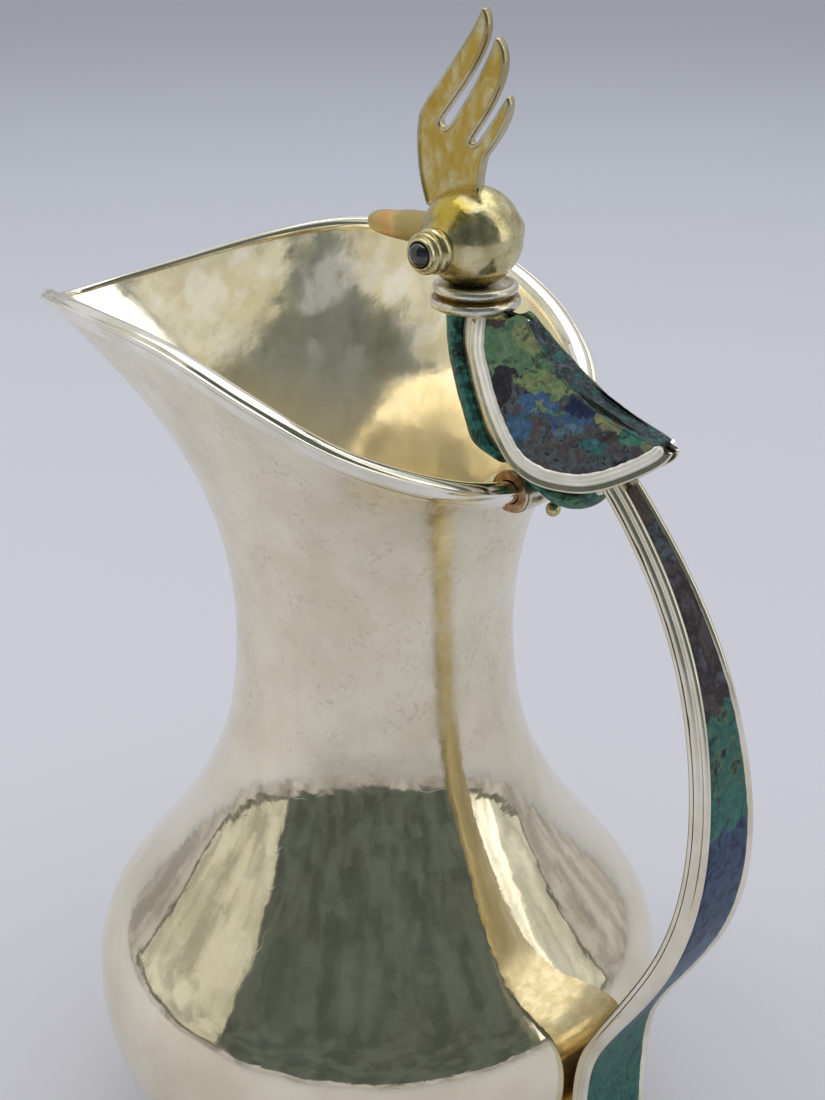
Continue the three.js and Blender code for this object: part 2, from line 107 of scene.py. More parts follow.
class Track:
    """A line through close points, read off at a fraction of its length."""

    def __init__(self, points, closed=False):
        self.closed = closed
        self.points = np.asarray(points, float)
        if closed:
            self.points = np.concatenate([self.points, self.points[:1]])
        steps = np.linalg.norm(np.diff(self.points, axis=0), axis=1)
        self.length = np.concatenate([[0], np.cumsum(steps)])

    def at(self, u):
        u = np.mod(u, 1) if self.closed else np.clip(u, 0, 1)
        s = u * self.length[-1]
        return np.stack([np.interp(s, self.length, c) for c in self.points.T], axis=-1)

    def along(self, u, step=0.004):
        ahead = self.at(u + step) - self.at(u - step)
        return ahead / np.linalg.norm(ahead, axis=-1, keepdims=True)


def spline(points, closed=False, centripetal=False):
    """Close points on a Catmull-Rom curve."""
    points = np.asarray(points, float)
    count = len(points)
    last = count if closed else count - 1
    found = []
    for i in range(last):
        ids = [i - 1, i, i + 1, i + 2]
        ids = [k % count for k in ids] if closed else [min(max(k, 0), count - 1) for k in ids]
        p = points[ids]
        gaps = np.linalg.norm(np.diff(p, axis=0), axis=1) ** 0.5 if centripetal else np.ones(3)
        gaps[gaps < 1e-4] = gaps[1]
        a, b, c = gaps
        start = ((p[1] - p[0]) / a - (p[2] - p[0]) / (a + b) + (p[2] - p[1]) / b) * b
        end = ((p[2] - p[1]) / b - (p[3] - p[1]) / (b + c) + (p[3] - p[2]) / c) * b
        t = np.linspace(0, 1, SPANS, endpoint=False)[:, None]
        found.append(
            p[1] + start * t
            + (-3 * p[1] + 3 * p[2] - 2 * start - end) * t**2
            + (2 * p[1] - 2 * p[2] + start + end) * t**3
        )
    if not closed:
        found.append(points[-1:])
    return np.concatenate(found)


def smooth_track(points, width, closed=False, centripetal=False):
    """A Track through points, with its corners eased over a width given in millimetres."""
    rough = Track(spline(points, closed, centripetal), closed)
    even = rough.at(np.linspace(0, 1, TRACK_POINTS, endpoint=not closed))
    return Track(blur(even, width * TRACK_POINTS / rough.length[-1], closed), closed)


def smoothstep(x, low, high):
    t = np.clip((x - low) / (high - low), 0, 1)
    return t * t * (3 - 2 * t)


def lerp(a, b, t):
    return a + (b - a) * t


def wobble(point, size, seed):
    """Smooth noise between about -1 and 1, that changes over a distance of size millimetres."""
    return noise.noise(Vector(point) / size + Vector((seed * 7.3, seed * 3.1, seed * 5.7)))


# ---------- meshes ----------


def loft(rings, closed=False):
    """Points and faces of a skin through rings, capped at its ends unless it closes on itself."""
    rings = np.asarray(rings, float)
    count, around = rings.shape[:2]
    faces = []
    for i in range(count if closed else count - 1):
        a, b = i * around, ((i + 1) % count) * around
        for j in range(around):
            k = (j + 1) % around
            faces.append((a + j, a + k, b + k, b + j))
    if not closed:
        faces.append(tuple(range(around)))
        faces.append(tuple(range((count - 1) * around, count * around)))
    return rings.reshape(-1, 3), faces


def grid_faces(rows, columns):
    """The faces of a grid of points that are listed row by row."""
    corners = [i * columns + j for i in range(rows - 1) for j in range(columns - 1)]
    return [(a, a + 1, a + columns + 1, a + columns) for a in corners]


def slab(rows, columns, place):
    """Points and faces of a plate. place gives its upper and lower point at a row and a column."""
    grid = np.array([[place(row, column) for column in columns] for row in rows])
    rows, columns = grid.shape[:2]
    under = rows * columns
    faces = []
    for quad in grid_faces(rows, columns):
        faces += [quad, tuple(under + k for k in reversed(quad))]
    edge = list(range(columns))
    edge += [i * columns + columns - 1 for i in range(1, rows)]
    edge += [(rows - 1) * columns + j for j in range(columns - 2, -1, -1)]
    edge += [i * columns for i in range(rows - 2, 0, -1)]
    faces += [(b, a, under + a, under + b) for a, b in zip(edge, edge[1:] + edge[:1])]
    return np.concatenate([grid[:, :, 0].reshape(-1, 3), grid[:, :, 1].reshape(-1, 3)]), faces


def turned(profile, segments=96):
    """A solid turned about Z from a profile of radius and height that starts and ends on the axis."""
    profile = np.asarray(profile, float)
    angles = np.linspace(0, 2 * math.pi, segments, endpoint=False)
    rings = [
        np.stack([r * np.cos(angles), r * np.sin(angles), np.full(segments, z)], axis=1)
        for r, z in profile
    ]
    return loft(rings)


def rounded(profile, width=0.25, step=0.12):
    """A profile with its corners eased."""
    line = Track(profile)
    count = max(12, int(line.length[-1] / step))
    return blur(line.at(np.linspace(0, 1, count)), width / step)


def join(*shapes):
    points, faces, start = [], [], 0
    for shape_points, shape_faces in shapes:
        points.append(shape_points)
        faces += [tuple(start + k for k in face) for face in shape_faces]
        start += len(shape_points)
    return np.concatenate(points), faces


def link(name, data):
    """An object that shows data in the scene."""
    made = bpy.data.objects.new(name, data)
    scene.collection.objects.link(made)
    return made


def piece(node, slot, shape, materials, choose=None, sharp=38):
    """The fine piece that stands for a CAD node. choose gives each face's material number."""
    points, faces = shape
    name = f"{node}_fine"
    mesh = bpy.data.meshes.new(name)
    mesh.from_pydata((np.asarray(points) * MM).tolist(), [], faces)
    work = bmesh.new()
    work.from_mesh(mesh)
    bmesh.ops.remove_doubles(work, verts=work.verts, dist=1e-7)
    bmesh.ops.recalc_face_normals(work, faces=work.faces)
    work.to_mesh(mesh)
    work.free()
    mesh.shade_smooth()
    mesh.set_sharp_from_angle(angle=math.radians(sharp))
    for material in materials if isinstance(materials, list) else [materials]:
        mesh.materials.append(material)
    if choose:
        for polygon in mesh.polygons:
            polygon.material_index = choose(polygon.center / MM, polygon.normal)
    made = link(name, mesh)
    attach(made, "root")
    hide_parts(node)


# ---------- materials ----------


class Shader:
    """A material built from nodes, with short names for the ones used here."""

    def __init__(self, name):
        self.material = bpy.data.materials.new(name)
        self.material.use_nodes = True
        self.tree = self.material.node_tree
        self.shader = self.tree.nodes["Principled BSDF"]
        place = self.tree.nodes.new("ShaderNodeTexCoord")
        self.place = place.outputs["Object"]

    def node(self, kind, output, inputs, **settings):
        """An output of a new node."""
        made = self.tree.nodes.new("ShaderNode" + kind)
        for key, value in settings.items():
            setattr(made, key, value)
        for key, value in inputs.items():
            self.feed(made.inputs[key], value)
        return made.outputs[output]

    def feed(self, socket, value):
        if isinstance(value, bpy.types.NodeSocket):
            self.tree.links.new(value, socket)
        else:
            socket.default_value = value

    def set(self, **values):
        names = {"color": "Base Color", "specular": "Specular IOR Level"}
        for key, value in values.items():
            self.feed(self.shader.inputs[names.get(key, key.replace("_", " ").title())], value)

    def mapped(self, **settings):
        """Object coordinates after a mapping."""
        return self.node("Mapping", "Vector", {"Vector": self.place, **settings})

    def stretched(self, x, y, z):
        return self.mapped(Scale=(x, y, z))

    def noise(self, size, detail=3.0, rough=0.55, distortion=0.0, vector=None):
        """Noise with features of a size in millimetres."""
        return self.node("TexNoise", "Fac", {
            "Vector": vector or self.place, "Scale": 1 / (size * MM), "Detail": detail,
            "Roughness": rough, "Distortion": distortion,
        })

    def range(self, value, low, high, new_low=0.0, new_high=1.0):
        limits = {"From Min": low, "From Max": high, "To Min": new_low, "To Max": new_high}
        return self.node("MapRange", "Result", {"Value": value, **limits}, interpolation_type="SMOOTHSTEP")

    def math(self, operation, a, b=0.0):
        return self.node("Math", "Value", {0: a, 1: b}, operation=operation)

    def times(self, a, b):
        return self.math("MULTIPLY", a, b)

    def plus(self, a, b):
        return self.math("ADD", a, b)

    def minus(self, a, b):
        return self.math("SUBTRACT", a, b)

    def wander(self, noise, amount):
        """Noise made to swing both ways about zero."""
        return self.times(self.minus(noise, 0.5), amount)

    def ramp(self, value, *stops):
        made = self.tree.nodes.new("ShaderNodeValToRGB")
        self.feed(made.inputs["Fac"], value)
        elements = made.color_ramp.elements
        for k, (position, color) in enumerate(stops):
            element = elements[k] if k < 2 else elements.new(position)
            element.position = position
            element.color = (*color, 1)
        return made.outputs["Color"]

    def mix(self, amount, a, b, blend="MIX"):
        a, b = (c if isinstance(c, bpy.types.NodeSocket) else (*c, 1) for c in (a, b))
        return self.node("Mix", 2, {"Factor": amount, 6: a, 7: b}, data_type="RGBA", blend_type=blend)

    def axis(self, letter):
        return self.node("SeparateXYZ", letter, {"Vector": self.place})

    def bump(self, *layers):
        """Bump from pairs of a height and its depth in millimetres."""
        under = {}
        for height, depth in layers:
            inputs = {"Height": height, "Distance": depth * MM, "Strength": 1.0, **under}
            under = {"Normal": self.node("Bump", "Normal", inputs)}
        self.set(normal=under["Normal"])


def scratches(s, size, seed):
    """Fine bright lines: the crossings of stretched noise, 1 on a scratch."""
    vector = s.mapped(Rotation=(0.6 * seed, 0.9 * seed, 0.4 * seed), Scale=(1.0, 0.06, 1.0))
    lines = s.noise(size, detail=1.0, vector=vector)
    return s.range(s.math("ABSOLUTE", s.minus(lines, 0.5)), 0.012, 0.0)


def silver_material(name, pale, dull, rough, spots=0.35, hammer=0.02, metal=1.0):
    """Warm silver: cloudy tarnish, grey pin spots, light scratches and hammer marks."""
    s = Shader(name)
    cloud = s.noise(14, detail=5)
    color = s.mix(s.range(cloud, 0.35, 0.68), pale, dull)
    speck = s.range(s.noise(1.6, detail=4, rough=0.7), 0.62, 0.8)
    color = s.mix(s.times(speck, spots), color, tuple(0.55 * c for c in dull))
    low, high = rough
    s.set(color=color, metallic=metal)
    film = s.range(s.noise(4.5, detail=6, rough=0.65), 0.3, 0.75, low, high)
    s.set(roughness=s.plus(film, s.times(speck, 0.1)))
    marks = scratches(s, 5, 1)
    s.bump((s.noise(9, detail=1), hammer * 2), (s.noise(2.6, detail=3), hammer * 0.5), (marks, 0.004))
    return s.material


def vessel_material():
    """Silver that is satin and mottled on the neck, mirror bright on the belly."""
    s = Shader("vessel_silver")
    height = s.axis("Z")
    edge = s.wander(s.noise(12, detail=3), 0.03)
    neck = s.range(s.plus(height, edge), 0.124, 0.146)
    cloud = s.noise(24, detail=5, rough=0.6)
    color = s.mix(s.range(cloud, 0.35, 0.68), (0.87, 0.80, 0.63), (0.77, 0.69, 0.51))
    grain = s.noise(1.5, detail=6, rough=0.72)
    stain = s.range(s.noise(8, detail=6, rough=0.7), 0.44, 0.62)
    speck = s.times(s.range(grain, 0.5, 0.66), stain)
    mottle = s.times(speck, s.times(neck, 0.55))
    color = s.mix(mottle, color, (0.44, 0.40, 0.32))
    clouded = s.range(s.noise(9, detail=7, rough=0.75, vector=s.stretched(1.0, 1.0, 0.6)), 0.45, 0.7)
    color = s.mix(s.times(clouded, s.times(neck, 0.4)), color, (0.66, 0.60, 0.47))
    s.set(color=color, metallic=1.0)
    polish = s.range(s.noise(5, detail=5), 0.3, 0.75, 0.035, 0.075)
    satin = s.range(s.noise(5, detail=7, rough=0.75), 0.35, 0.65, 0.10, 0.26)
    s.set(roughness=s.node("Mix", 0, {0: neck, 2: polish, 3: satin}))
    streak = s.noise(3.2, detail=4, vector=s.stretched(1.0, 1.0, 0.16))
    s.bump(
        (s.noise(10, detail=2), 0.12),
        (streak, 0.02),
        (s.times(grain, neck), 0.025),
        (scratches(s, 9, 1), 0.003),
        (scratches(s, 14, 2.3), 0.002),
    )
    return s.material


def inside_material():
    """The inside of the vessel: polished over planishing marks, warmer than the outside, with painted
    highlights high in the mouth.
    """
    s = Shader("vessel_inside")
    cloud = s.noise(22, detail=5, rough=0.6)
    color = s.mix(s.range(cloud, 0.35, 0.65), (0.93, 0.86, 0.68), (0.82, 0.71, 0.46))
    deep = s.range(s.axis("Z"), 0.215, 0.185)
    color = s.mix(s.times(deep, 0.7), color, (0.80, 0.68, 0.40))
    streak = s.noise(5, detail=5, rough=0.6, vector=s.stretched(1.0, 1.0, 0.22))
    color = s.mix(s.range(streak, 0.5, 0.75, 0.0, 0.5), color, (0.60, 0.52, 0.34))
    # Painted highlights: pale, less metallic patches high in the mouth stand for the bright streaks of light
    # on the inner wall.
    painted_highlights = s.range(s.noise(12, detail=3, rough=0.5, vector=s.stretched(1.0, 1.0, 0.5)), 0.5, 0.66)
    painted_highlights = s.times(painted_highlights, s.range(s.axis("Z"), 0.2, 0.225, 0.0, 0.5))
    color = s.mix(painted_highlights, color, (0.92, 0.91, 0.87))
    metal = s.minus(0.92, s.times(deep, 0.4))
    s.set(color=color, metallic=s.minus(metal, s.times(painted_highlights, 0.5)))
    s.set(roughness=s.range(streak, 0.3, 0.7, 0.08, 0.18))
    s.bump((s.noise(13, detail=1), 0.25), (s.noise(6, detail=2), 0.05), (streak, 0.03))
    return s.material


def brass_material():
    """Worn brass of the head: yellow where the polish is left, silvery olive elsewhere."""
    s = Shader("head_brass")
    patch = s.noise(6.5, detail=4, rough=0.6, distortion=0.5)
    worn = s.mix(s.range(patch, 0.4, 0.62), (0.70, 0.63, 0.38), (0.52, 0.45, 0.22))
    spots = s.range(s.noise(3.4, detail=4, rough=0.7), 0.56, 0.68)
    color = s.mix(s.times(spots, 0.7), worn, (0.33, 0.29, 0.11))
    spot = tuple((HEAD + HEAD_RADIUS * np.array([0.0, -0.72, 0.66])) * MM)
    away = s.node("VectorMath", "Value", {0: s.place, 1: spot}, operation="DISTANCE")
    away = s.plus(away, s.wander(patch, 0.012))
    yellow = s.range(away, 0.55 * HEAD_RADIUS * MM, 0.3 * HEAD_RADIUS * MM)
    color = s.mix(s.times(yellow, 0.85), color, (0.58, 0.42, 0.05))
    s.set(color=color, metallic=1.0)
    s.set(roughness=s.range(s.noise(2.5, detail=5), 0.3, 0.7, 0.13, 0.3))
    s.bump((s.noise(4, detail=2), 0.09), (s.noise(1.1, detail=4), 0.02), (scratches(s, 3, 1), 0.004))
    return s.material


def fitting_material():
    """Brass of the eyes and small fittings, mottled with brown."""
    s = Shader("fitting_brass")
    color = s.ramp(
        s.noise(2.2, detail=5),
        (0.3, (0.36, 0.30, 0.13)),
        (0.5, (0.62, 0.55, 0.30)),
        (0.7, (0.74, 0.69, 0.46)),
    )
    s.set(color=color, metallic=1.0, roughness=s.range(s.noise(1.2, detail=4), 0.3, 0.7, 0.16, 0.34))
    s.bump((s.noise(1.5, detail=3), 0.04))
    return s.material


def crest_material():
    """Plate mottled between silver and ochre."""
    s = Shader("crest_plate")
    patch = s.noise(5.5, detail=5, rough=0.6, distortion=0.7, vector=s.stretched(1.1, 1.0, 0.6))
    color = s.ramp(
        patch,
        (0.33, (0.62, 0.57, 0.38)),
        (0.43, (0.58, 0.48, 0.23)),
        (0.52, (0.52, 0.37, 0.10)),
        (0.68, (0.46, 0.29, 0.04)),
    )
    s.set(color=color, metallic=0.9, roughness=s.range(s.noise(2, detail=5), 0.3, 0.7, 0.26, 0.42))
    s.bump((s.noise(3, detail=3), 0.06), (s.noise(0.8, detail=4), 0.015))
    return s.material


def gilt_material():
    """The inner face of the handle: pale above, amber at the foot."""
    s = Shader("handle_inside")
    cloud = s.noise(5, detail=5, rough=0.65)
    pale = s.mix(s.range(cloud, 0.35, 0.65), (0.76, 0.70, 0.53), (0.62, 0.55, 0.36))
    amber = s.mix(s.range(cloud, 0.35, 0.65), (0.80, 0.56, 0.20), (0.58, 0.35, 0.09))
    low = s.range(s.plus(s.axis("Z"), s.times(cloud, 0.012)), 0.078, 0.058)
    s.set(color=s.mix(low, pale, amber), metallic=0.85, roughness=s.range(cloud, 0.3, 0.7, 0.14, 0.28))
    s.bump((s.noise(9, detail=1), 0.05), (s.noise(2.6, detail=3), 0.012))
    return s.material


def copper_material():
    """Brown copper of the end of the loop round the rim."""
    s = Shader("loop_copper")
    color = s.mix(s.range(s.noise(1.6, detail=5), 0.35, 0.65), (0.50, 0.31, 0.17), (0.25, 0.14, 0.07))
    s.set(color=color, metallic=1.0, roughness=s.range(s.noise(1.2), 0.3, 0.7, 0.3, 0.45))
    s.bump((s.noise(1.1, detail=3), 0.03))
    return s.material


def beak_material():
    s = Shader("beak_ochre")
    tip = s.range(s.axis("X"), (HEAD[0] - 2.7 * HEAD_RADIUS) * MM, (HEAD[0] - 1.2 * HEAD_RADIUS) * MM)
    mottled = s.plus(tip, s.times(s.noise(3, detail=4), 0.6))
    color = s.ramp(
        s.range(mottled, 0.2, 1.3),
        (0.15, (0.50, 0.38, 0.14)),
        (0.45, (0.62, 0.33, 0.13)),
        (0.7, (0.60, 0.42, 0.18)),
        (0.95, (0.40, 0.31, 0.12)),
    )
    s.set(color=color, metallic=0.75, roughness=s.range(s.noise(1.5), 0.3, 0.7, 0.28, 0.42))
    s.bump((s.noise(1.6, detail=4), 0.05))
    return s.material


def collar_material():
    """Silver rings with brown tarnish left in the groove between them."""
    s = Shader("collar_silver")
    height = s.minus(s.axis("Z"), COLLAR_LOW * MM)
    shape = s.plus(height, s.wander(s.noise(2.5), 0.0016))
    low = s.range(shape, 0.0023, 0.0027)
    high = s.range(shape, 0.0042, 0.0036)
    groove = s.times(low, high)
    color = s.mix(s.range(s.noise(3, detail=5), 0.35, 0.7), (0.80, 0.77, 0.68), (0.62, 0.58, 0.46))
    color = s.mix(s.times(groove, 0.9), color, (0.26, 0.17, 0.05))
    s.set(color=color, metallic=1.0, roughness=s.range(s.noise(1.5, detail=4), 0.3, 0.7, 0.2, 0.38))
    s.bump((s.noise(2.2, detail=4), 0.09), (s.noise(0.7, detail=3), 0.02))
    return s.material


def onyx_material():
    s = Shader("onyx")
    color = s.mix(s.range(s.noise(1.4, detail=3), 0.4, 0.7), (0.006, 0.006, 0.007), (0.03, 0.03, 0.035))
    s.set(color=color, roughness=s.range(s.noise(1.0), 0.3, 0.7, 0.05, 0.12))
    s.set(coat_weight=1.0, coat_roughness=0.04)
    s.bump((s.noise(1.2), 0.02))
    return s.material


CHIP_SIZE = 1.1


def palette_color(s, factor, palette):
    """A colour picked from a palette by a factor of about 0.3 to 0.7."""
    spread = [0.30 + 0.42 * k / (len(palette) - 1) for k in range(len(palette))]
    return s.ramp(factor, *zip(spread, palette))


def shifted(s, seed):
    return s.mapped(Location=(seed, 0.37 * seed, -seed))


def finish_stone(s, color, cloud, vector, chips=0.4):
    """Chips, pits, dark cement and a ground surface, laid over the colour of a stone."""
    chip = s.node("TexVoronoi", "Color", {"Vector": vector, "Scale": 1 / (CHIP_SIZE * MM)}, feature="F1")
    tint = s.range(s.node("SeparateColor", 0, {"Color": chip}), 0.0, 1.0, 1 - chips, 1 + chips)
    shade = s.node("CombineColor", "Color", {0: tint, 1: tint, 2: tint})
    color = s.mix(1.0, color, shade, blend="MULTIPLY")
    fine = s.noise(0.5, detail=5, rough=0.72, vector=vector)
    color = s.mix(s.range(fine, 0.52, 0.78, 0.0, 0.3), color, (0.10, 0.13, 0.12))
    broad = s.noise(4.2, detail=5, rough=0.7, distortion=0.8, vector=vector)
    color = s.mix(s.range(broad, 0.44, 0.34, 0.0, 0.75), color, (0.016, 0.016, 0.020))
    pits = s.range(s.noise(1.3, detail=5, rough=0.75, vector=vector), 0.4, 0.3)
    color = s.mix(s.times(pits, 0.8), color, (0.010, 0.010, 0.012))
    s.set(color=color, roughness=s.range(fine, 0.3, 0.7, 0.34, 0.5), specular=0.16)
    s.bump((cloud, 0.1), (fine, 0.035))
    return s.material


def stone_material(name, palette, size, seed):
    """Crushed stone set in dark cement and ground flat, in one cloudy mix of colours."""
    s = Shader(name)
    vector = shifted(s, seed)
    cloud = s.noise(size, detail=6, rough=0.62, distortion=0.6, vector=vector)
    return finish_stone(s, palette_color(s, cloud, palette), cloud, vector)


def mosaic_material(name, base, regions, seed):
    """Crushed stone in which areas of colour meet without clear seams.

    Each region is a centre in X and Z, a half width and half height, all in millimetres, and a palette.
    """
    s = Shader(name)
    vector = shifted(s, seed)
    cloud = s.noise(2.6, detail=6, rough=0.66, distortion=0.5, vector=vector)
    warp_x = s.wander(s.noise(4.5, 5, 0.65, vector=vector), 9 * MM)
    warp_z = s.wander(s.noise(3.6, 5, 0.65, vector=vector), 9 * MM)
    x, z = s.plus(s.axis("X"), warp_x), s.plus(s.axis("Z"), warp_z)
    color = palette_color(s, cloud, base)
    for centre_x, centre_z, half_x, half_z, palette in regions:
        away_x = s.math("DIVIDE", s.minus(x, centre_x * MM), half_x * MM)
        away_z = s.math("DIVIDE", s.minus(z, centre_z * MM), half_z * MM)
        away = s.plus(s.times(away_x, away_x), s.times(away_z, away_z))
        color = s.mix(s.range(away, 1.15, 0.85), color, palette_color(s, cloud, palette))
    return finish_stone(s, color, cloud, vector, 0.18)


def banded_material(name, bands, seed):
    """Crushed stone in bands. Each band is the height where it ends, in millimetres, and its palette."""
    s = Shader(name)
    vector = shifted(s, seed)
    cloud = s.noise(5.5, detail=7, rough=0.66, distortion=0.5, vector=vector)
    height = s.plus(s.axis("Z"), s.wander(s.noise(6, 5, 0.65, vector=vector), 13 * MM))
    color = palette_color(s, cloud, bands[0][1])
    for (end, _), (_, palette) in zip(bands, bands[1:]):
        below = s.range(height, (end + 0.4) * MM, (end - 0.4) * MM)
        color = s.mix(below, color, palette_color(s, cloud, palette))
    return finish_stone(s, color, cloud, vector, 0.16)


SATIN = silver_material("satin_silver", (0.80, 0.75, 0.63), (0.62, 0.56, 0.43), (0.2, 0.34), 0.5, 0.03)
BRIGHT = silver_material("bright_silver", (0.93, 0.90, 0.80), (0.80, 0.75, 0.62), (0.07, 0.17), 0.4, 0.02)
HANDLE_SILVER = silver_material("handle_silver", (0.88, 0.83, 0.71), (0.74, 0.68, 0.52), (0.14, 0.26), 0.5)
BEZEL = silver_material("bezel_silver", (0.94, 0.92, 0.86), (0.82, 0.78, 0.68), (0.36, 0.5), 0.4, 0.025, 0.65)
GILT = gilt_material()
CREST_EDGE = silver_material("crest_edge", (0.62, 0.57, 0.40), (0.42, 0.35, 0.17), (0.22, 0.36), 0.7)
VESSEL = vessel_material()
INSIDE = inside_material()
BRASS = brass_material()
FITTING = fitting_material()
CREST = crest_material()
BEAK = beak_material()
COLLAR = collar_material()
COPPER = copper_material()
ONYX = onyx_material()

BLACK = (0.016, 0.015, 0.018)
PLUM = (0.034, 0.026, 0.036)
MAUVE = (0.060, 0.048, 0.066)
BROWN = (0.058, 0.042, 0.036)
UMBER = (0.085, 0.060, 0.042)
NAVY = (0.012, 0.018, 0.055)
BLUE = (0.034, 0.078, 0.155)
SKY = (0.060, 0.130, 0.200)
SLATE = (0.060, 0.084, 0.096)
TEAL = (0.020, 0.092, 0.084)
SEA = (0.028, 0.140, 0.100)
GREEN = (0.062, 0.142, 0.082)
LEAF = (0.100, 0.175, 0.078)
MOSS = (0.170, 0.190, 0.080)
SAND = (0.190, 0.175, 0.095)


# ---------- vessel ----------

SHEET = 1.25
BASE_RADIUS = 44
BASE_HEIGHT = 3.2
NECK_RADIUS = 35.1
NECK_HEIGHT = 156
BODY_PROFILE = [
    (BASE_RADIUS, BASE_HEIGHT), (56.5, 10.5), (67, 24), (74.4, 42), (76.3, 60), (73.6, 72), (66.6, 82),
    (55.3, 96), (45.9, 111), (39.4, 126), (36.1, 141), (NECK_RADIUS, NECK_HEIGHT),
]
RIM_HALF = [
    (48.2, 0, 206), (45.6, 16.6, 208.4), (39.4, 31.9, 214), (29, 44.6, 221), (12.5, 52.7, 230.3),
    (-10, 55.9, 238.6), (-34.8, 55.4, 241.8), (-55.4, 49.8, 241), (-72.5, 38.4, 236.8),
    (-97, 20.4, 227.6), (-108, 9.8, 223.2), (-112.6, 0, 221.2),
]
WIRE_RADIUS = 2.7
WIRE_TIP_RADIUS = 1.2
AROUND = 264  # columns of points round the vessel
ROWS = 150  # points up each side of its wall
PLANISHING = 0.3  # depth of the broad marks inside the mouth
RIM_STEPS = 420
WIRE_AROUND = 28

rim = smooth_track(
    RIM_HALF + [(x, -y, z) for x, y, z in RIM_HALF[-2:0:-1]], 3.0, closed=True, centripetal=True
)


def towards_spout(u):
    """0 behind the handle, 1 at the tip of the spout, whichever way round."""
    return 1 - abs(1 - 2 * (u % 1))


def wire_radius(u):
    return lerp(WIRE_RADIUS, WIRE_TIP_RADIUS, smoothstep(towards_spout(u), 0.4, 0.95))


def flare_slope(u):
    t = towards_spout(u)
    sides = 48 + 14 * math.sin(math.pi * min(t / 0.8, 1))
    return math.radians(lerp(sides, 42, smoothstep(t, 0.6, 1)))


def bezier(a, b, c, d, count=80):
    t = np.linspace(0, 1, count)[:, None]
    return a * (1 - t) ** 3 + 3 * b * t * (1 - t) ** 2 + 3 * c * t**2 * (1 - t) + d * t**3


def wall_column(u):
    """The outer wall over one point of the rim, from base to rim, as radius and height."""
    x, y, z = rim.at(u)
    slope = flare_slope(u)
    along = np.array([math.cos(slope), math.sin(slope)])
    outward = np.array([along[1], -along[0]])
    end = np.array([math.hypot(x, y), z]) - 0.6 * wire_radius(u) * along + outward * SHEET / 2
    start = np.array([NECK_RADIUS, NECK_HEIGHT])
    reach = np.linalg.norm(end - start)
    rise = np.array([0, 0.56 * (end[1] - start[1])])
    flare = bezier(start, start + rise, end - 0.18 * reach * along, end)
    whole = Track(np.concatenate([spline(BODY_PROFILE), flare[1:]]))
    even = whole.at(np.linspace(0, 1, ROWS))
    return blur(even, 3.2)


def inner_column(outer):
    slope = np.gradient(outer, axis=0)
    normal = np.stack([slope[:, 1], -slope[:, 0]], axis=1)
    normal /= np.linalg.norm(normal, axis=1, keepdims=True)
    inner = outer - SHEET * normal
    inner[0] = (BASE_RADIUS - SHEET, BASE_HEIGHT + SHEET)
    return inner


def hammered(point):
    """How far hammering has moved the sheet at a point, in millimetres."""
    return 0.12 * wobble(point, 19, 1) + 0.06 * wobble(point, 8, 2)


def add_vessel():
    rings = np.zeros((2 * ROWS, AROUND, 3))
    for k in range(AROUND):
        x, y, _ = rim.at(k / AROUND)
        azimuth = math.atan2(y, x)
        outer = wall_column(k / AROUND)
        for row, (radius, height) in enumerate(np.concatenate([outer, inner_column(outer)[::-1]])):
            spot = (radius * math.cos(azimuth), radius * math.sin(azimuth), height)
            moved = radius + hammered(spot)
            if row >= ROWS:
                moved += PLANISHING * wobble(spot, 18, 22) * smoothstep(height, 190, 205)
            rings[row, k] = moved * math.cos(azimuth), moved * math.sin(azimuth), height

    def choose(centre, normal):
        return int(centre.x * normal.x + centre.y * normal.y < 0)

    piece("vessel_shell", "silver_bright", loft(rings), [VESSEL, INSIDE], choose=choose)


def add_base():
    _, (radius, _, top) = node_box("base_plate")
    profile = [(0, 0), (radius - 0.5, 0), (radius, 1.2), (radius - 1.1, top), (0, top)]
    piece("base_plate", "silver_bright", turned(rounded(profile), 160), SATIN)


def ring_frame(u):
    """Two directions square to the rim at u: outwards, and up."""
    tangent = rim.along(u)
    side = np.cross(UP, tangent)
    side /= np.linalg.norm(side)
    return side, np.cross(tangent, side)


def add_rim():
    """The wire along the rim, and the lip of the wall folded under it."""
    wire, lip = [], []
    for i in range(RIM_STEPS):
        u = i / RIM_STEPS
        side, up = ring_frame(u)
        centre = rim.at(u)
        radius = wire_radius(u) * (1 + 0.012 * wobble(centre, 9, 3))
        angles = np.linspace(0, 2 * math.pi, WIRE_AROUND, endpoint=False)
        wire.append([centre + radius * (math.cos(a) * side + 0.97 * math.sin(a) * up) for a in angles])
        outward = -side if np.dot(side[:2], centre[:2]) < 0 else side
        slope = flare_slope(u)
        along = math.cos(slope) * outward + math.sin(slope) * UP
        under = math.sin(slope) * outward - math.cos(slope) * UP
        edge = centre + 0.62 * radius * under
        reach = 0.78 * radius + 0.75 * (1 - smoothstep(towards_spout(u), 0.55, 0.95))
        section = [
            (-2.4, -0.45), (reach - 0.4, -0.45), (reach - 0.1, -0.3), (reach, 0), (reach - 0.1, 0.3),
            (reach - 0.4, 0.45), (-2.4, 0.45),
        ]
        lip.append([edge + along * a + under * b for a, b in section])
    piece("rim_wire", "silver_bright", join(loft(wire, closed=True), loft(lip, closed=True)), BRIGHT)


# ---------- loop at the back of the rim ----------


LOOP_REACH = 0.5 * LOOP_WIDTH + 1.6
LOOP_RADIUS = 4.9
SLOT_MIDDLE, SLOT_HALF = math.radians(228), math.radians(20)


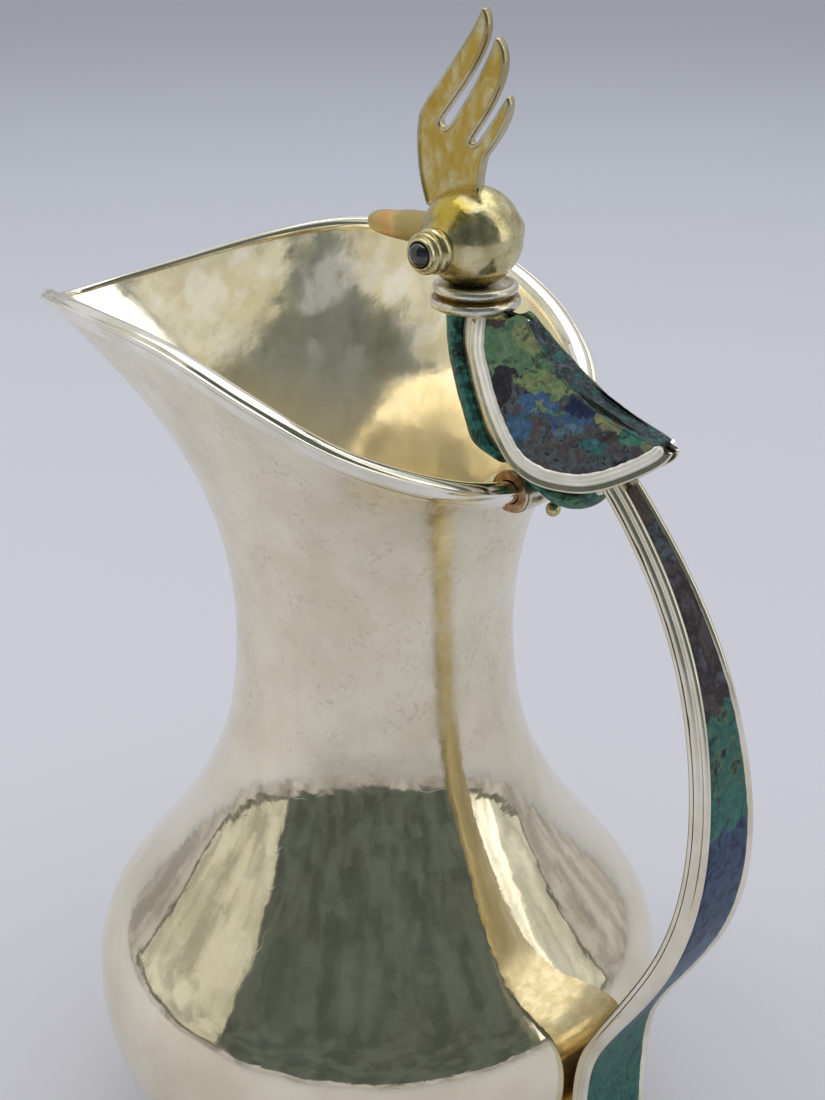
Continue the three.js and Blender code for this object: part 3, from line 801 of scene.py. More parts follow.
def add_loop():
    """A band bent round the wire at the back of the rim, open where the wall meets the wire."""
    across = np.concatenate([[-1, -0.97, -0.9], np.linspace(-0.8, 0.8, 17), [0.9, 0.97, 1]])
    angles = np.linspace(SLOT_MIDDLE + SLOT_HALF, SLOT_MIDDLE - SLOT_HALF + 2 * math.pi, 72)

    def place(t, angle):
        wide = abs(rim.points[:, 1] - t * LOOP_REACH) + 100 * (rim.points[:, 0] < 0)
        x, y, z = rim.points[wide.argmin()]
        lip, turned_in = 0.3 * smoothstep(abs(t), 0.6, 0.9), 0.35 * smoothstep(abs(t), 0.85, 1)
        outer = LOOP_RADIUS + lip - turned_in + 0.12 * wobble((4 * t, 0, 14 * angle), 5, 4)
        return [(x + r * math.cos(angle), y, z + r * math.sin(angle)) for r in (outer, WIRE_RADIUS + 0.25)]

    def choose(centre, normal):
        return int(abs(normal.y) > 0.55)

    piece("rim_loop", "silver_satin", slab(across, angles, place), [SATIN, COPPER], choose=choose)


def add_tab_and_bead():
    low, high = node_box("loop_tab")
    section = [(-1, 0), (-0.9, 0.45), (0.9, 0.45), (1, 0), (0.9, -0.45), (-0.9, -0.45)]
    rings = []
    for t in np.linspace(0, 1, 16):
        x, z = lerp(low[0], high[0], t), lerp(high[2] - 0.5, low[2] + 0.5, t)
        width = 0.5 * (high[1] - low[1]) * math.sqrt(max(0.05, 1 - abs(2 * t - 1) ** 5))
        rings.append([(x, y * width, z + h) for y, h in section])
    piece("loop_tab", "brass", loft(rings), FITTING)
    points, faces = ball(0.5 * node_size("loop_bead")[2], 48)
    piece("loop_bead", "brass", (points + node_centre("loop_bead"), faces), FITTING)


def ball(radius, segments):
    angles = np.linspace(-0.499 * math.pi, 0.499 * math.pi, segments // 2)
    return turned([(radius * math.cos(a), radius * math.sin(a)) for a in angles], segments)


# ---------- head ----------


def uneven(points, centre, depth, size, seed):
    """Points moved in or out from a centre by smooth noise."""
    moved = []
    for point in points:
        out = point - centre
        out /= max(np.linalg.norm(out), 1e-6)
        moved.append(point + out * depth * wobble(point, size, seed))
    return np.array(moved)


def add_head_ball():
    points, faces = ball(HEAD_RADIUS - 0.12, 128)
    piece("head", "brass", (uneven(points + HEAD, HEAD, 0.12, 6, 5), faces), BRASS)


BEAK_STATIONS = [
    (-10.5, 4.2, 3.6, -0.6), (-14, 4.0, 3.4, -0.6), (-18, 3.75, 3.25, -0.65), (-22, 3.4, 3, -0.9),
    (-26.5, 2.9, 2.5, -1), (-29.2, 2.1, 1.8, -1.1), (-30.3, 1.2, 1.0, -1.2), (-30.6, 0.25, 0.2, -1.2),
]


def add_beak():
    stations = Track(spline(BEAK_STATIONS))
    angles = np.linspace(0, 2 * math.pi, 56, endpoint=False)
    rings = []
    for x, tall, wide, rise in stations.at(np.linspace(0, 1, 60)):
        rings.append([
            HEAD + (x, wide * math.cos(a), rise + tall * math.sin(a) * (0.94 if math.sin(a) < 0 else 1))
            for a in angles
        ])
    points, faces = loft(rings)
    piece("beak", "ochre_brass", (uneven(points, HEAD + (-20, 0, 0), 0.1, 3.5, 6), faces), BEAK)


CREST_START = (17.6, 266)
CREST_CURVES = [
    ((14.4, 273), (14, 281), (15.3, 286.4)),
    ((18, 291.6), (29.4, 303), (32.8, 310.6)),
    ((37.6, 305.6), (30.2, 296.6), (21, 285.4)),
    ((21.4, 283.4), (22.8, 283.4), (24.2, 285.2)),
    ((28.8, 291), (33.2, 297.4), (36.4, 304.8)),
    ((42.4, 300.2), (36.6, 291), (29.7, 282.2)),
    ((29.8, 280.8), (31, 280.8), (32.2, 282.6)),
    ((34.8, 285.8), (37.4, 289.4), (39.9, 293)),
    ((42.4, 289.4), (36.8, 282.4), (33.9, 279.2)),
    ((32.7, 275.6), (32.3, 272.4), (32.8, 268)),
]


def crest_outline():
    """The edge of the crest, in X and Z, with its corners slightly eased."""
    first = start = np.array(CREST_START, float)
    points = []
    for handles in CREST_CURVES:
        handles = np.array(handles, float)
        points.append(bezier(start, *handles, 60)[:-1])
        start = handles[-1]
    points += [start[None], lerp(start, first, np.linspace(0.05, 0.95, 12)[:, None])]
    rough = Track(np.concatenate(points), closed=True)
    return blur(rough.at(np.linspace(0, 1, 420, endpoint=False)), 1.2, closed=True)


def inwards(outline):
    """The direction into a closed outline at each of its points."""
    ahead = np.roll(outline, -1, axis=0) - np.roll(outline, 1, axis=0)
    normal = np.stack([ahead[:, 1], -ahead[:, 0]], axis=1)
    normal /= np.linalg.norm(normal, axis=1, keepdims=True)
    area = np.sum(outline[:, 0] * np.roll(outline[:, 1], -1) - outline[:, 1] * np.roll(outline[:, 0], -1))
    return -normal if area > 0 else normal


def distance_to(outline, points):
    """How far each point is from an outline."""
    return np.array([np.linalg.norm(outline - point, axis=1).min() for point in points])


CREST_BORDER = 0.95  # width of the raised border round the crest
CREST_SUNK = 0.34  # how far the field inside the border lies under it
CREST_STEP = 0.5  # distance between the points of the field
# Rows of points along the edge, and how clear of it they have to be.
CREST_ROWS = [(0.15, 0.14), (0.3, 0.28), (0.6, 0.56), (0.78, 0.74), (CREST_BORDER + 0.1, CREST_BORDER)]


def crest_face_height(distance):
    """Height of the crest's face over its middle plane, from the distance to its edge."""
    half = CREST_THICKNESS / 2
    corner = half - 0.42 * (1 - smoothstep(distance, 0, 0.3))
    return corner - CREST_SUNK * smoothstep(distance, CREST_BORDER - 0.35, CREST_BORDER + 0.1)


def crest_field(outline):
    """Points spread over the crest, clear of its edge."""
    low, high = outline.min(axis=0), outline.max(axis=0)
    grid = np.stack(np.meshgrid(
        np.arange(low[0], high[0], CREST_STEP), np.arange(low[1], high[1], CREST_STEP)
    ), axis=-1).reshape(-1, 2)
    inner = inwards(outline)
    rows = [(outline + inset * inner, clear) for inset, clear in CREST_ROWS]
    rows.append((grid, CREST_BORDER + 0.35))
    return np.concatenate([row[distance_to(outline, row) > clear] for row, clear in rows])


def add_crest():
    outline = crest_outline()
    count = len(outline)
    places = [Vector(p) for p in np.concatenate([outline, crest_field(outline)])]
    flat, _, triangles, *_ = geometry.delaunay_2d_cdt(places, [], [list(range(count))], 1, 1e-5)
    flat = np.array([tuple(p) for p in flat])
    height = crest_face_height(distance_to(outline, flat))
    height = height + 0.03 * np.array([wobble((x, 0, z), 2.5, 21) for x, z in flat])
    front = np.stack([flat[:, 0], -height, flat[:, 1]], axis=1)
    back = np.stack([flat[:, 0], height, flat[:, 1]], axis=1)
    faces = [tuple(t) for t in triangles] + [tuple(len(flat) + k for k in reversed(t)) for t in triangles]
    faces += [(k, (k + 1) % count, len(flat) + (k + 1) % count, len(flat) + k) for k in range(count)]
    shape = np.concatenate([front, back]), faces
    inside = CREST_BORDER - 0.1

    def choose(centre, normal):
        return int(distance_to(outline, [(centre.x, centre.z)])[0] > inside)

    piece("crest", "brass", shape, [CREST_EDGE, CREST], choose=choose, sharp=60)


# ---------- eyes and collar ----------


def sideways(shape, side, x, z):
    """A turned shape with its axis laid along Y, facing side -1 or 1."""
    points, faces = shape
    laid = np.stack([points[:, 0] + x, side * points[:, 2], -side * points[:, 1] + z], axis=1)
    return laid, faces


def add_eyes():
    cup = [(0, 9.2), (4.2, 9.2), (4.6, 9.9), (5.0, 10.8), (5.15, 11.6), (5.1, 12.4), (4.8, 13.1), (4.4, 13.4),
           (3.9, 13.5), (0, 13.5)]
    ring = [(2.5, 13.45), (4.4, 13.45), (4.72, 14.0), (4.75, 14.7), (4.6, 15.2), (4.35, 15.5), (4.1, 15.5),
            (3.95, 15.3), (3.8, 15.6), (3.65, 16.3), (3.35, 16.7), (3.0, 16.6), (2.78, 16.0), (2.5, 13.45)]
    stone = [(0, 13.5), (2.72, 13.5), (2.8, 15.6), (2.72, 16.5), (2.45, 17.15), (1.95, 17.65), (1.3, 18.0),
             (0.65, 18.17), (0, 18.2)]
    section = rounded(ring, 0.14, 0.06)[:-1]
    angles = np.linspace(0, 2 * math.pi, 96, endpoint=False)
    bezel = [[(r * math.cos(a), r * math.sin(a), h) for r, h in section] for a in angles]
    for label, side in SIDES:
        for name, shape, slot, material in (
            ("cup", turned(rounded(cup, 0.16, 0.06)), "brass", FITTING),
            ("stone", turned(rounded(stone, 0.12, 0.06)), "onyx", ONYX),
            ("bezel", loft(bezel, closed=True), "brass", FITTING),
        ):
            piece(f"eye_{name}_{label}", slot, sideways(shape, side, EYE[0], EYE[2]), material)


def add_collar():
    lower = [(0, 0), (9.0, 0), (10.0, 0.5), (10.3, 1.2), (10.3, 1.9), (10.0, 2.5), (9.2, 2.9), (8.7, 3.1),
             (0, 3.1)]
    upper = [(0, 3.0), (8.8, 3.0), (9.2, 3.5), (9.4, 3.9), (9.7, 4.3), (9.75, 4.9), (9.5, 5.5), (9.0, 5.85),
             (8.2, 5.9), (7.2, 5.6), (0, 4.4)]
    foot = np.array([COLLAR_X, 0, COLLAR_LOW])
    for node, profile in (("collar_lower", lower), ("collar_upper", upper)):
        points, faces = turned(rounded(profile, 0.16, 0.1), 128)
        points = uneven(points + foot, foot + (0, 0, 2), 0.11, 3.2, 8)
        piece(node, "silver_satin", (points, faces), COLLAR)


# ---------- body of the bird ----------

# Ridge of the back, edge of the wing and keel, each as x and z, then the half width at the wing's edge.
BODY_STATIONS = [
    (42, 243.8, 33.6, 244.3, 23.6, 244.3, 5.4),
    (45.5, 241.4, 35, 237.6, 24.8, 236.8, 7.4),
    (50, 238.8, 39.1, 230.6, 27.2, 229, 9),
    (55, 235.8, 42.9, 224.9, 30.6, 221.4, 10.4),
    (59, 233.2, 47.5, 219.5, 34, 215, 11.4),
    (62.5, 230.8, 52.1, 215.6, 42.6, 213.2, 11.8),
    (66, 229.4, 57, 213.9, 50.6, 210.8, 11.8),
    (69, 228.4, 63, 213.1, 58.2, 205.4, 11),
    (71, 227.4, 67.4, 213.5, 64, 205.2, 9.2),
    (72, 224, 70, 215.2, 68, 207.4, 6),
]
INLAY_DEPTH = 2.2
CORE_INSET = 2.9  # how far the core stays inside the outer faces of the wings
CORE_DROP = 1.2  # how far it stays under the ridge of the back
body_line = Track(spline(BODY_STATIONS))


def station_place(k):
    """Where a station of the body lies along its line, as a fraction."""
    distance = np.linalg.norm(body_line.points - BODY_STATIONS[k], axis=1)
    return body_line.length[distance.argmin()] / body_line.length[-1]


def keel_arc(station, inset, count, sweep=90):
    edge, keel, half = station[2:4], station[4:6], station[6]
    reach = np.linalg.norm(keel - edge)
    angles = np.radians(np.linspace(-sweep, sweep, count))
    fall = ((reach - inset) / reach) * np.cos(angles)
    return np.stack([
        lerp(edge[0], keel[0], fall), (half - inset) * np.sin(angles), lerp(edge[1], keel[1], fall),
    ], axis=1)


def add_bird_core():
    rings = []
    for u in np.linspace(0, 1, 60):
        station = body_line.at(u)
        under = keel_arc(station, INLAY_DEPTH + 0.1, 30)
        room = max(wing_surface(*station[2:4]) - CORE_INSET, 1)
        under[:, 1] *= min(1, room / under[-1, 1])
        x, z = station[:2]
        top = max(wing_surface(x, z) - CORE_INSET, 0.5)
        rings.append([*under, (x, top, z - CORE_DROP), (x, -top, z - CORE_DROP)])
    piece("bird_body", "silver_satin", loft(rings), SATIN)


def keel_inlay(start, end, seed):
    """Stone laid over the keel, a little uneven, with eased edges."""
    rings = []
    for u in np.linspace(start, end, 70):
        station = body_line.at(u)
        ends = 0.35 * (1 - min(1, min(u - start, end - u) / 0.012))
        outer = keel_arc(station, ends, 34, 62)
        inner = keel_arc(station, INLAY_DEPTH, 34, 62)[::-1]
        outer[[0, -1]] = lerp(outer[[0, -1]], inner[[-1, 0]], 0.2)
        middle = outer.mean(axis=0)
        rings.append([*uneven(outer, middle, 0.14, 3, seed), *inner])
    return loft(rings)


def add_bird_body():
    add_bird_core()
    breast = stone_material("breast_stone", [TEAL, BLACK, SEA, TEAL, GREEN], 3.4, 1.3)
    belly = stone_material("belly_stone", [BLACK, GREEN, SEA, TEAL], 3.0, 4.1)
    breast_end, belly_start = (station_place(k) for k in (5, 6))
    piece("breast_inlay", "green_stone", keel_inlay(0, breast_end, 9), breast)
    piece("belly_inlay", "green_stone", keel_inlay(belly_start, 0.985, 10), belly)


# ---------- wings ----------

WING_OFFSET = 112.6
WING_LEAN_X = 0.205
WING_LEAN_Z = 0.41
WING_NORMAL = np.array([WING_LEAN_X, 1, WING_LEAN_Z]) / math.hypot(WING_LEAN_X, 1, WING_LEAN_Z)
WING_BORDER = [
    (33.8, 244.3), (35.2, 237.4), (39.1, 230.5), (42.9, 224.8), (47.5, 219.4), (52.1, 215.4), (59.3, 212.9),
    (67.7, 212.9), (73, 214.3), (77.8, 216.7), (82.4, 219.6), (85.9, 222.5), (86.6, 224.6),
]
WING_RIDGE = [
    (42.1, 244.2), (44.2, 246.1), (46.2, 246.3), (49.5, 243), (53, 239.8), (57, 236.6), (61, 233.7),
    (66, 230.6), (72, 228.4), (78.5, 226.6), (84, 225.2),
]
BEZEL_OUTSET = 1.5
BEZEL_WIDTH = 2.1
BEZEL_MIDDLE = 2.75
WING_BEZEL = 1.3
WING_STACK = 2.45
PLATE_DROP = 0.9  # how far the plate stays under the ridge of the back
border = smooth_track(WING_BORDER, 1.5)
ridge = smooth_track(WING_RIDGE, 0.7)


def wing_surface(x, z):
    """Distance of the wing's outer face from the plane of symmetry."""
    return WING_OFFSET - WING_LEAN_X * x - WING_LEAN_Z * z


def on_wing(x, z, depth, side):
    point = np.array([x, wing_surface(x, z), z]) - depth * WING_NORMAL
    point[1] = side * max(point[1], 0.1)
    return point


def border_point(u, inset):
    tangent = border.along(u)
    return border.at(u) + inset * np.array([-tangent[1], tangent[0]])


def add_wing_plate(label, side):
    edge = [border.at(u) for u in np.linspace(0, 1, 120)]
    edge += [ridge.at(u) - (0, PLATE_DROP) for u in np.linspace(1, 0, 60)]
    rough = Track(edge, closed=True)
    outline = blur(rough.at(np.linspace(0, 1, 360, endpoint=False)), 1.0, closed=True)
    inner = inwards(outline)
    top, bottom = WING_BEZEL, WING_STACK
    section = [
        (0.5, top), (0.25, top + 0.03), (0.06, top + 0.16), (0, top + 0.4), (0.06, bottom - 0.16),
        (0.25, bottom - 0.03), (0.5, bottom),
    ]
    rings = [[on_wing(x, z, depth, side) for x, z in outline + inset * inner] for inset, depth in section]
    piece(f"wing_plate_{label}", "silver_satin", loft(rings), HANDLE_SILVER, sharp=70)


# The bezel across its width: inset from the border of the wing, and depth under its outer face.
BEZEL_SECTION = [
    (1.5, 1.45), (1.42, 1.1), (1.44, 0.7), (1.56, 0.4), (1.8, 0.2), (2.1, 0.1), (2.5, 0.06), (2.9, 0.1),
    (3.2, 0.05), (3.5, 0.0), (3.75, 0.1), (3.95, 0.35), (4.0, 0.8), (4.0, 1.45),
]


def add_wing_bezel(label, side):
    rings = []
    section = rounded(BEZEL_SECTION, 0.08, 0.06)
    for u in np.concatenate([np.linspace(0.004, 0.97, 250), np.linspace(0.972, 0.997, 24)]):
        pinch = math.sqrt(max(0.12, 1 - smoothstep(u, 0.975, 0.998) ** 2))
        ring = []
        for inset, depth in section:
            inset = BEZEL_MIDDLE + (inset - BEZEL_MIDDLE) * pinch
            x, z = border_point(u, inset)
            face = 1 - min(depth, 1)
            uneven_depth = depth + 0.06 * wobble((x, 5 * inset, z), 4, 11) * face
            uneven_depth += 0.5 * (1 - pinch) * face
            ragged = 0.16 * wobble((x, 30, z), 1.3, 12) if inset > 3.6 else 0
            x, z = border_point(u, inset + ragged * pinch)
            ring.append(on_wing(x, z, max(uneven_depth, 0.02), side))
        rings.append(ring)
    piece(f"wing_bezel_{label}", "silver_bright", loft(rings), BEZEL, sharp=50)


BORDER_SPLITS = [0.004, 0.2, 0.37, 0.56, 0.75, 0.915]
RIDGE_SPLITS = [0.01, 0.3, 0.52, 0.70, 0.86, 0.975]


def wing_split(k, v):
    """Where two areas of stone meet, as fractions along border and ridge, at v from border to ridge."""
    inside = 0 < k < 5
    wave = 0.022 * math.sin(5.1 * v + 2.3 * k) + 0.014 * math.sin(13.7 * v + 1.1 * k)
    shift = wave * math.sin(math.pi * v) if inside else 0
    return BORDER_SPLITS[k] + shift, RIDGE_SPLITS[k] + shift


WING_REGIONS = [
    (46.5, 240.0, 10.5, 7.2, [GREEN, LEAF, GREEN, LEAF]),
    (49.0, 241.8, 4.0, 2.8, [LEAF, MOSS, LEAF]),
    (56.0, 233.8, 8.0, 2.6, [GREEN, LEAF, MOSS, LEAF]),
    (60.5, 233.0, 2.6, 1.6, [MOSS, LEAF]),
    (45.3, 231.8, 3.0, 4.6, [PLUM, BLACK, PLUM]),
    (40.2, 244.2, 3.2, 1.8, [PLUM, BROWN, GREEN]),
    (47.6, 234.5, 1.6, 1.0, [PLUM, BLACK]),
    (54.5, 229.4, 4.6, 2.2, [BLUE, BLUE, SKY]),
    (66.5, 230.0, 5.2, 1.9, [NAVY, NAVY, BLUE]),
    (62.0, 227.4, 5.4, 1.6, [NAVY, BLUE, SLATE]),
    (54.9, 228.4, 1.4, 0.8, [LEAF, MOSS]),
    (58.9, 228.4, 2.2, 0.7, [SEA, LEAF]),
    (51.5, 224.0, 3.6, 3.2, [TEAL, BLUE, SKY]),
    (64.0, 225.2, 3.0, 1.2, [SLATE, SKY]),
    (71.5, 228.2, 3.4, 2.0, [SAND, MOSS, SAND]),
    (77.5, 226.2, 3.8, 2.0, [GREEN, SEA, LEAF]),
    (82.5, 225.0, 2.2, 1.6, [MOSS, SLATE]),
    (70.0, 223.0, 3.0, 1.2, [SLATE, TEAL, SKY]),
]
WING_BASE = [BLACK, BLACK, SLATE, BROWN, MAUVE, SKY]


def add_wing_stones(label, side):
    inner = BEZEL_OUTSET + BEZEL_WIDTH + 0.25
    material = mosaic_material(f"wing_mosaic_{label}", WING_BASE, WING_REGIONS, 1.3 * side)
    rows, columns = np.linspace(0, 1, 44), np.linspace(0, 1, 36)

    def place(k, v, t):
        start, finish = wing_split(k, v), wing_split(k + 1, v)
        low = border_point(lerp(start[0], finish[0], t), inner)
        high = ridge.at(lerp(start[1], finish[1], t))
        x, z = lerp(low, high, v)
        fall = 0.3 * (1 - smoothstep(v, 0, 0.03))
        depth = 0.4 + fall + 0.16 * wobble((x, 0, z), 5, 13) + 0.07 * wobble((x, 0, z), 1.6, 14)
        return on_wing(x, z, max(depth, 0.05), side), on_wing(x, z, WING_BEZEL, side)

    for k, color in enumerate(["green", "dark", "blue", "dark", "green"]):
        shape = slab(rows, columns, partial(place, k))
        piece(f"wing_stone_{label}_{k + 1}", f"{color}_stone", shape, material, sharp=60)


def add_back_inlay():
    """The strip of dark stone between the ridges of the wings."""

    def place(u, t):
        x, z = ridge.at(u)
        half = wing_surface(x, z) - 0.12
        crown = 0.45 * (1 - t * t) + 0.1 * wobble((x, 4 * t, z), 3, 15) * (1 - t**4) - 0.36
        return (x + 0.4 * crown, t * half, z + crown), (x - 0.5, t * max(half - 0.6, 0.1), z - 1.6)

    material = stone_material("back_stone", [BLACK, TEAL, BLACK, SLATE, BLACK], 3.0, 6.6)
    shape = slab(np.linspace(0.13, 0.99, 110), np.linspace(-1, 1, 17), place)
    piece("back_inlay", "dark_stone", shape, material, sharp=60)


# ---------- handle ----------

HANDLE_PATH = [
    (74, 215), (78.4, 210), (83.6, 203.2), (89.1, 195.2), (95.2, 184.2), (99.9, 173), (103.4, 161),
    (105.7, 149), (106.8, 137), (106.5, 125), (104.5, 113), (100.3, 100.5), (93.8, 88.5), (87, 77.5),
    (82.2, 68), (80.6, 58), (80.6, 47), (82.2, 36.5), (86, 27.5),
]
HANDLE_DEPTH = 5.2
FOOT_DEPTH = 3.9
HANDLE_BACK = 1.2
HANDLE_WALL = 1.9
HANDLE_LENGTH = 215
STONE_ENDS = [0.012, 0.065, 0.1, 0.275, 0.37, 0.42, 0.585, 0.78, 0.968]
handle = smooth_track(HANDLE_PATH, 3.0)


def handle_half(s):
    full = 7 + 21 * smoothstep(s, -0.05, 0.75)
    tip = max(0, (s - 0.86) / 0.145)
    return 0.5 * full * math.sqrt(max(0, 1 - tip**2))


def handle_depth(s):
    return lerp(HANDLE_DEPTH, FOOT_DEPTH, smoothstep(s, 0.6, 0.8))


def on_handle(s, y, down):
    (x, z), (tx, tz) = handle.at(s), handle.along(s)
    return x + tz * down, y, z - tx * down


WIDE_FACE = 0.3  # how far a face of the back strip may turn sideways and still be its broad side


def add_handle_back():
    rings = []
    for s in np.linspace(0, 1, 300):
        half, depth = handle_half(s), handle_depth(s)
        top, ease = depth - HANDLE_BACK, min(0.3, 0.3 * half)
        section = [
            (-half, top + 0.1), (-half, depth - 0.45), (-half + 0.12, depth - 0.15), (-half + ease, depth),
            (half - ease, depth), (half - 0.12, depth - 0.15), (half, depth - 0.45), (half, top + 0.1),
            (half - 0.1, top), (-half + 0.1, top),
        ]
        rings.append([on_handle(s, y, down) for y, down in section])

    def choose(centre, normal):
        return int(abs(normal.y) < WIDE_FACE)

    piece("handle_back", "silver_satin", loft(rings), [HANDLE_SILVER, GILT], choose=choose)


def add_handle_wall(label, side):
    rings = []
    for s in np.linspace(0, 0.978, 300):
        half, depth = handle_half(s), handle_depth(s)
        seat = depth - HANDLE_BACK
        groove = 0.5 * (1 - smoothstep(s, 0.4, 0.62))
        slit = 0.22 + 0.3 * max(0, wobble((0, 0, HANDLE_LENGTH * s), 5, 16)) * (1 - smoothstep(s, 0.3, 0.5))
        chips = 0.28 * max(0, wobble((30 * side, 0, HANDLE_LENGTH * s), 3.2, 17))
        chips += 0.05 * wobble((0, 9, HANDLE_LENGTH * s), 1, 18)
        inner = half - HANDLE_WALL + chips
        section = [
            (inner, 0.75), (half - 1.55 + 0.6 * chips, 0.32), (half - 1.25, 0.08), (half - 0.9, 0.0),
            (half - 0.5, 0.03), (half - 0.2, 0.2), (half - 0.03, 0.5), (half, 0.85), (half - 0.04, 1.2),
            (half - groove * 0.6, 1.55), (half - groove, 1.95), (half - groove * 0.8, 2.35),
            (half - 0.08, 2.75), (half - 0.02, seat - 0.6), (half - 0.1, seat - slit),
            (half - 0.5, seat - slit + 0.05), (inner, seat - 0.05),
        ]
        rings.append([on_handle(s, side * max(y, 0.02), down) for y, down in section])
    piece(f"handle_wall_{label}", "silver_bright", loft(rings), HANDLE_SILVER, sharp=50)


def handle_split(k, t):
    """Where two stones of the handle meet, as a fraction of its length, at t across it."""
    inside = 0 < k < 8
    wave = 0.008 * math.sin(4.2 * t + 1.9 * k) + 0.004 * math.sin(11.3 * t + k)
    return STONE_ENDS[k] + (wave if inside else 0)


HANDLE_PALETTES = [
    [BLACK, UMBER, BROWN, BLACK, UMBER],
    [GREEN, BLACK, SLATE, PLUM, SLATE],
    [BLACK, MAUVE, BROWN, BLACK, MAUVE, SLATE],
    [BLACK, BLACK, GREEN, TEAL, SEA, LEAF],
    [BLACK, TEAL, SEA, TEAL, GREEN],
    [BLACK, NAVY, BLUE, NAVY, BLUE],
    [SLATE, BLUE, SKY, TEAL],
    [BLACK, TEAL, SEA, TEAL, SEA],
]


def add_handle_stones():
    ends = [handle.at(s)[1] for s in STONE_ENDS[1:]]
    material = banded_material("handle_mosaic", list(zip(ends, HANDLE_PALETTES)), 0.4)

    def place(k, t, part):
        s = lerp(handle_split(k, t), handle_split(k + 1, t), part)
        inner = max(handle_half(s) - HANDLE_WALL + 0.12, 0.1)
        spot = (0, t * inner, HANDLE_LENGTH * s)
        fall = 0.3 * (1 - smoothstep(1 - abs(t), 0, 0.12))
        down = 0.5 + fall + 0.14 * wobble(spot, 5, 19) + 0.07 * wobble(spot, 1.5, 20)
        depths = (max(down, 0.1), handle_depth(s) - HANDLE_BACK)
        return [on_handle(s, t * inner, depth) for depth in depths]

    for k, color in enumerate(["dark"] * 3 + ["green"] * 2 + ["blue"] * 2 + ["green"]):
        parts = np.linspace(0, 1, max(10, int(260 * (STONE_ENDS[k + 1] - STONE_ENDS[k]))))
        shape = slab(np.linspace(-1, 1, 19), parts, partial(place, k))
        piece(f"handle_stone_{k + 1}", f"{color}_stone", shape, material, sharp=60)


# ---------- floor, light and camera ----------

VIEW_AZIMUTH = math.radians(-48)
VIEW_PITCH = math.radians(24)
VIEW_DISTANCE = 0.45187
VIEW_HEIGHT = 0.176
FOCAL = 1800 / 825
AXIS_OFFSET = 38 / 1800
FLOOR_SIZE = 14.0
CARD_ROWS, CARD_COLUMNS = 25, 49
CARD_CENTRE = 0.1  # height that the curved panels are drawn round
LIGHT_AIM = Vector((0, 0, 0.15))


def view_direction():
    flat = Vector((math.cos(VIEW_AZIMUTH), math.sin(VIEW_AZIMUTH), 0))
    return flat * math.cos(VIEW_PITCH) + Vector((0, 0, math.sin(VIEW_PITCH)))


def add_camera():
    data = bpy.data.cameras.new("camera")
    data.sensor_fit = "HORIZONTAL"
    data.sensor_width = 36
    data.lens = 36 * FOCAL
    data.clip_start = 0.01
    camera = link("camera", data)
    camera.location = Vector((0, 0, VIEW_HEIGHT)) + VIEW_DISTANCE * view_direction()
    turn = math.atan2(AXIS_OFFSET, math.cos(VIEW_PITCH))
    camera.rotation_euler = (math.pi / 2 - VIEW_PITCH, 0, VIEW_AZIMUTH + math.pi / 2 - turn)
    scene.camera = camera


def stage_mesh(name, points, rows, columns, material, reflected_only=False):
    """A grid of points that is part of the surroundings."""
    mesh = bpy.data.meshes.new(name)
    mesh.from_pydata(points, [], grid_faces(rows, columns))
    mesh.materials.append(material)
    made = link(name, mesh)
    if reflected_only:
        made.visible_camera = made.visible_diffuse = made.visible_shadow = False


def add_floor():
    line = FLOOR_SIZE * np.linspace(-0.5, 0.5, 25)
    s = Shader("floor_paper")
    # Painted pool of light: the floor's colour is lighter near the pitcher and darker further out, standing
    # for the falloff of the lights.
    distance = s.node("VectorMath", "Value", {0: s.place}, operation="LENGTH")
    color = s.ramp(
        s.range(distance, 0.1, 2.6),
        (0.0, (0.54, 0.54, 0.58)),
        (0.45, (0.52, 0.54, 0.60)),
        (1.0, (0.40, 0.41, 0.44)),
    )
    s.set(color=color, roughness=0.9)
    stage_mesh("floor", [(x, y, 0) for y in line for x in line], len(line), len(line), s.material)


def set_view():
    scene.view_settings.view_transform = "Standard"


def add_world():
    world = bpy.data.worlds.new("soft_tent")
    world.use_nodes = True
    background = world.node_tree.nodes["Background"]
    background.inputs["Color"].default_value = (0.93, 0.95, 1.0, 1)
    background.inputs["Strength"].default_value = 0.75
    scene.world = world


def add_area(name, place, size, power, color=(1, 1, 1)):
    data = bpy.data.lights.new(name, "AREA")
    data.shape = "RECTANGLE"
    data.size, data.size_y = size
    data.energy = power
    data.color = color
    light = link(name, data)
    light.location = place
    aim = LIGHT_AIM - Vector(place)
    light.rotation_euler = aim.to_track_quat("-Z", "Y").to_euler()


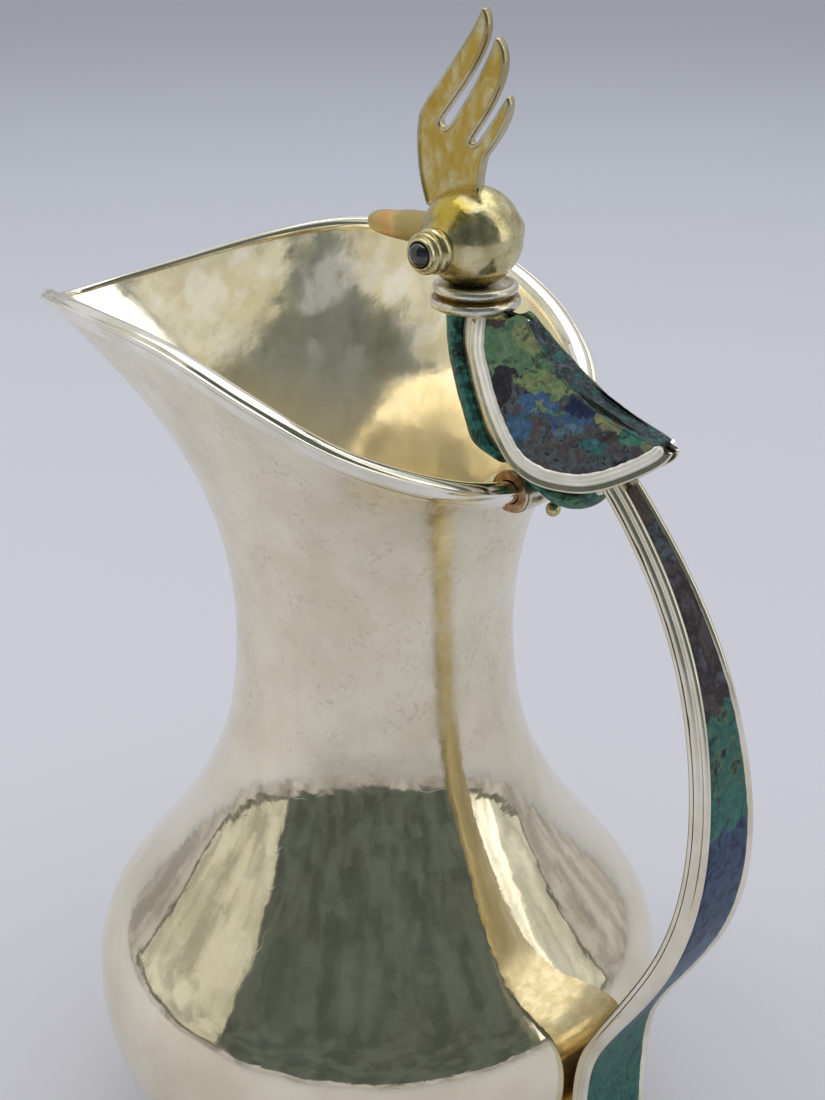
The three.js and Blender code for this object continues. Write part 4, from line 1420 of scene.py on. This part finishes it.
def add_card(name, azimuths, heights, color, strength, distance):
    """A curved panel that shows only in reflections. Azimuths are in degrees to the right of the camera."""
    points = []
    for rise in np.radians(np.linspace(*heights, CARD_ROWS)):
        for azimuth in VIEW_AZIMUTH + np.radians(np.linspace(*azimuths, CARD_COLUMNS)):
            flat, height = distance * math.cos(rise), distance * math.sin(rise)
            points.append((flat * math.cos(azimuth), flat * math.sin(azimuth), CARD_CENTRE + height))
    s = Shader(name)
    shade = s.mix(s.range(s.noise(160, detail=3), 0.35, 0.65), color, tuple(0.6 * c for c in color))
    s.set(color=(0, 0, 0, 1), roughness=1.0, emission_color=shade, emission_strength=strength)
    stage_mesh(name, points, CARD_ROWS, CARD_COLUMNS, s.material, reflected_only=True)


def add_lights():
    add_world()
    add_area("overhead", (0.1, 0.2, 1.5), (1.6, 1.6), 9)
    add_area("left_box", (-0.9, -0.9, 0.9), (0.9, 0.9), 5, (1, 0.97, 0.92))
    add_card("backdrop", (-179, 179), (-3.5, 26), (0.56, 0.55, 0.57), 1.0, 1.4)
    add_card("dark_room", (-62, 57), (0, 71), (0.14, 0.17, 0.16), 0.85, 1.3)
    add_card("left_panel", (-108, -62), (1, 66), (0.70, 0.70, 0.62), 1.0, 1.15)
    add_card("left_frame", (-109.5, -61), (-1, 67), (0.22, 0.23, 0.20), 1.0, 1.25)
    add_card("right_panel", (60, 80), (2, 66), (1.6, 1.58, 1.48), 1.0, 1.15)
    add_card("right_wall", (80, 96), (2, 66), (0.78, 0.80, 0.74), 1.0, 1.15)
    add_card("right_frame", (56, 97.5), (0, 67), (0.22, 0.23, 0.20), 1.0, 1.25)


set_view()
add_camera()
add_vessel()
add_base()
add_rim()
add_loop()
add_tab_and_bead()
add_head_ball()
add_beak()
add_crest()
add_eyes()
add_collar()
add_bird_body()
for wing in SIDES:
    add_wing_plate(*wing)
    add_wing_bezel(*wing)
    add_wing_stones(*wing)
add_back_inlay()
add_handle_back()
for wall in SIDES:
    add_handle_wall(*wall)
add_handle_stones()
add_floor()
add_lights()
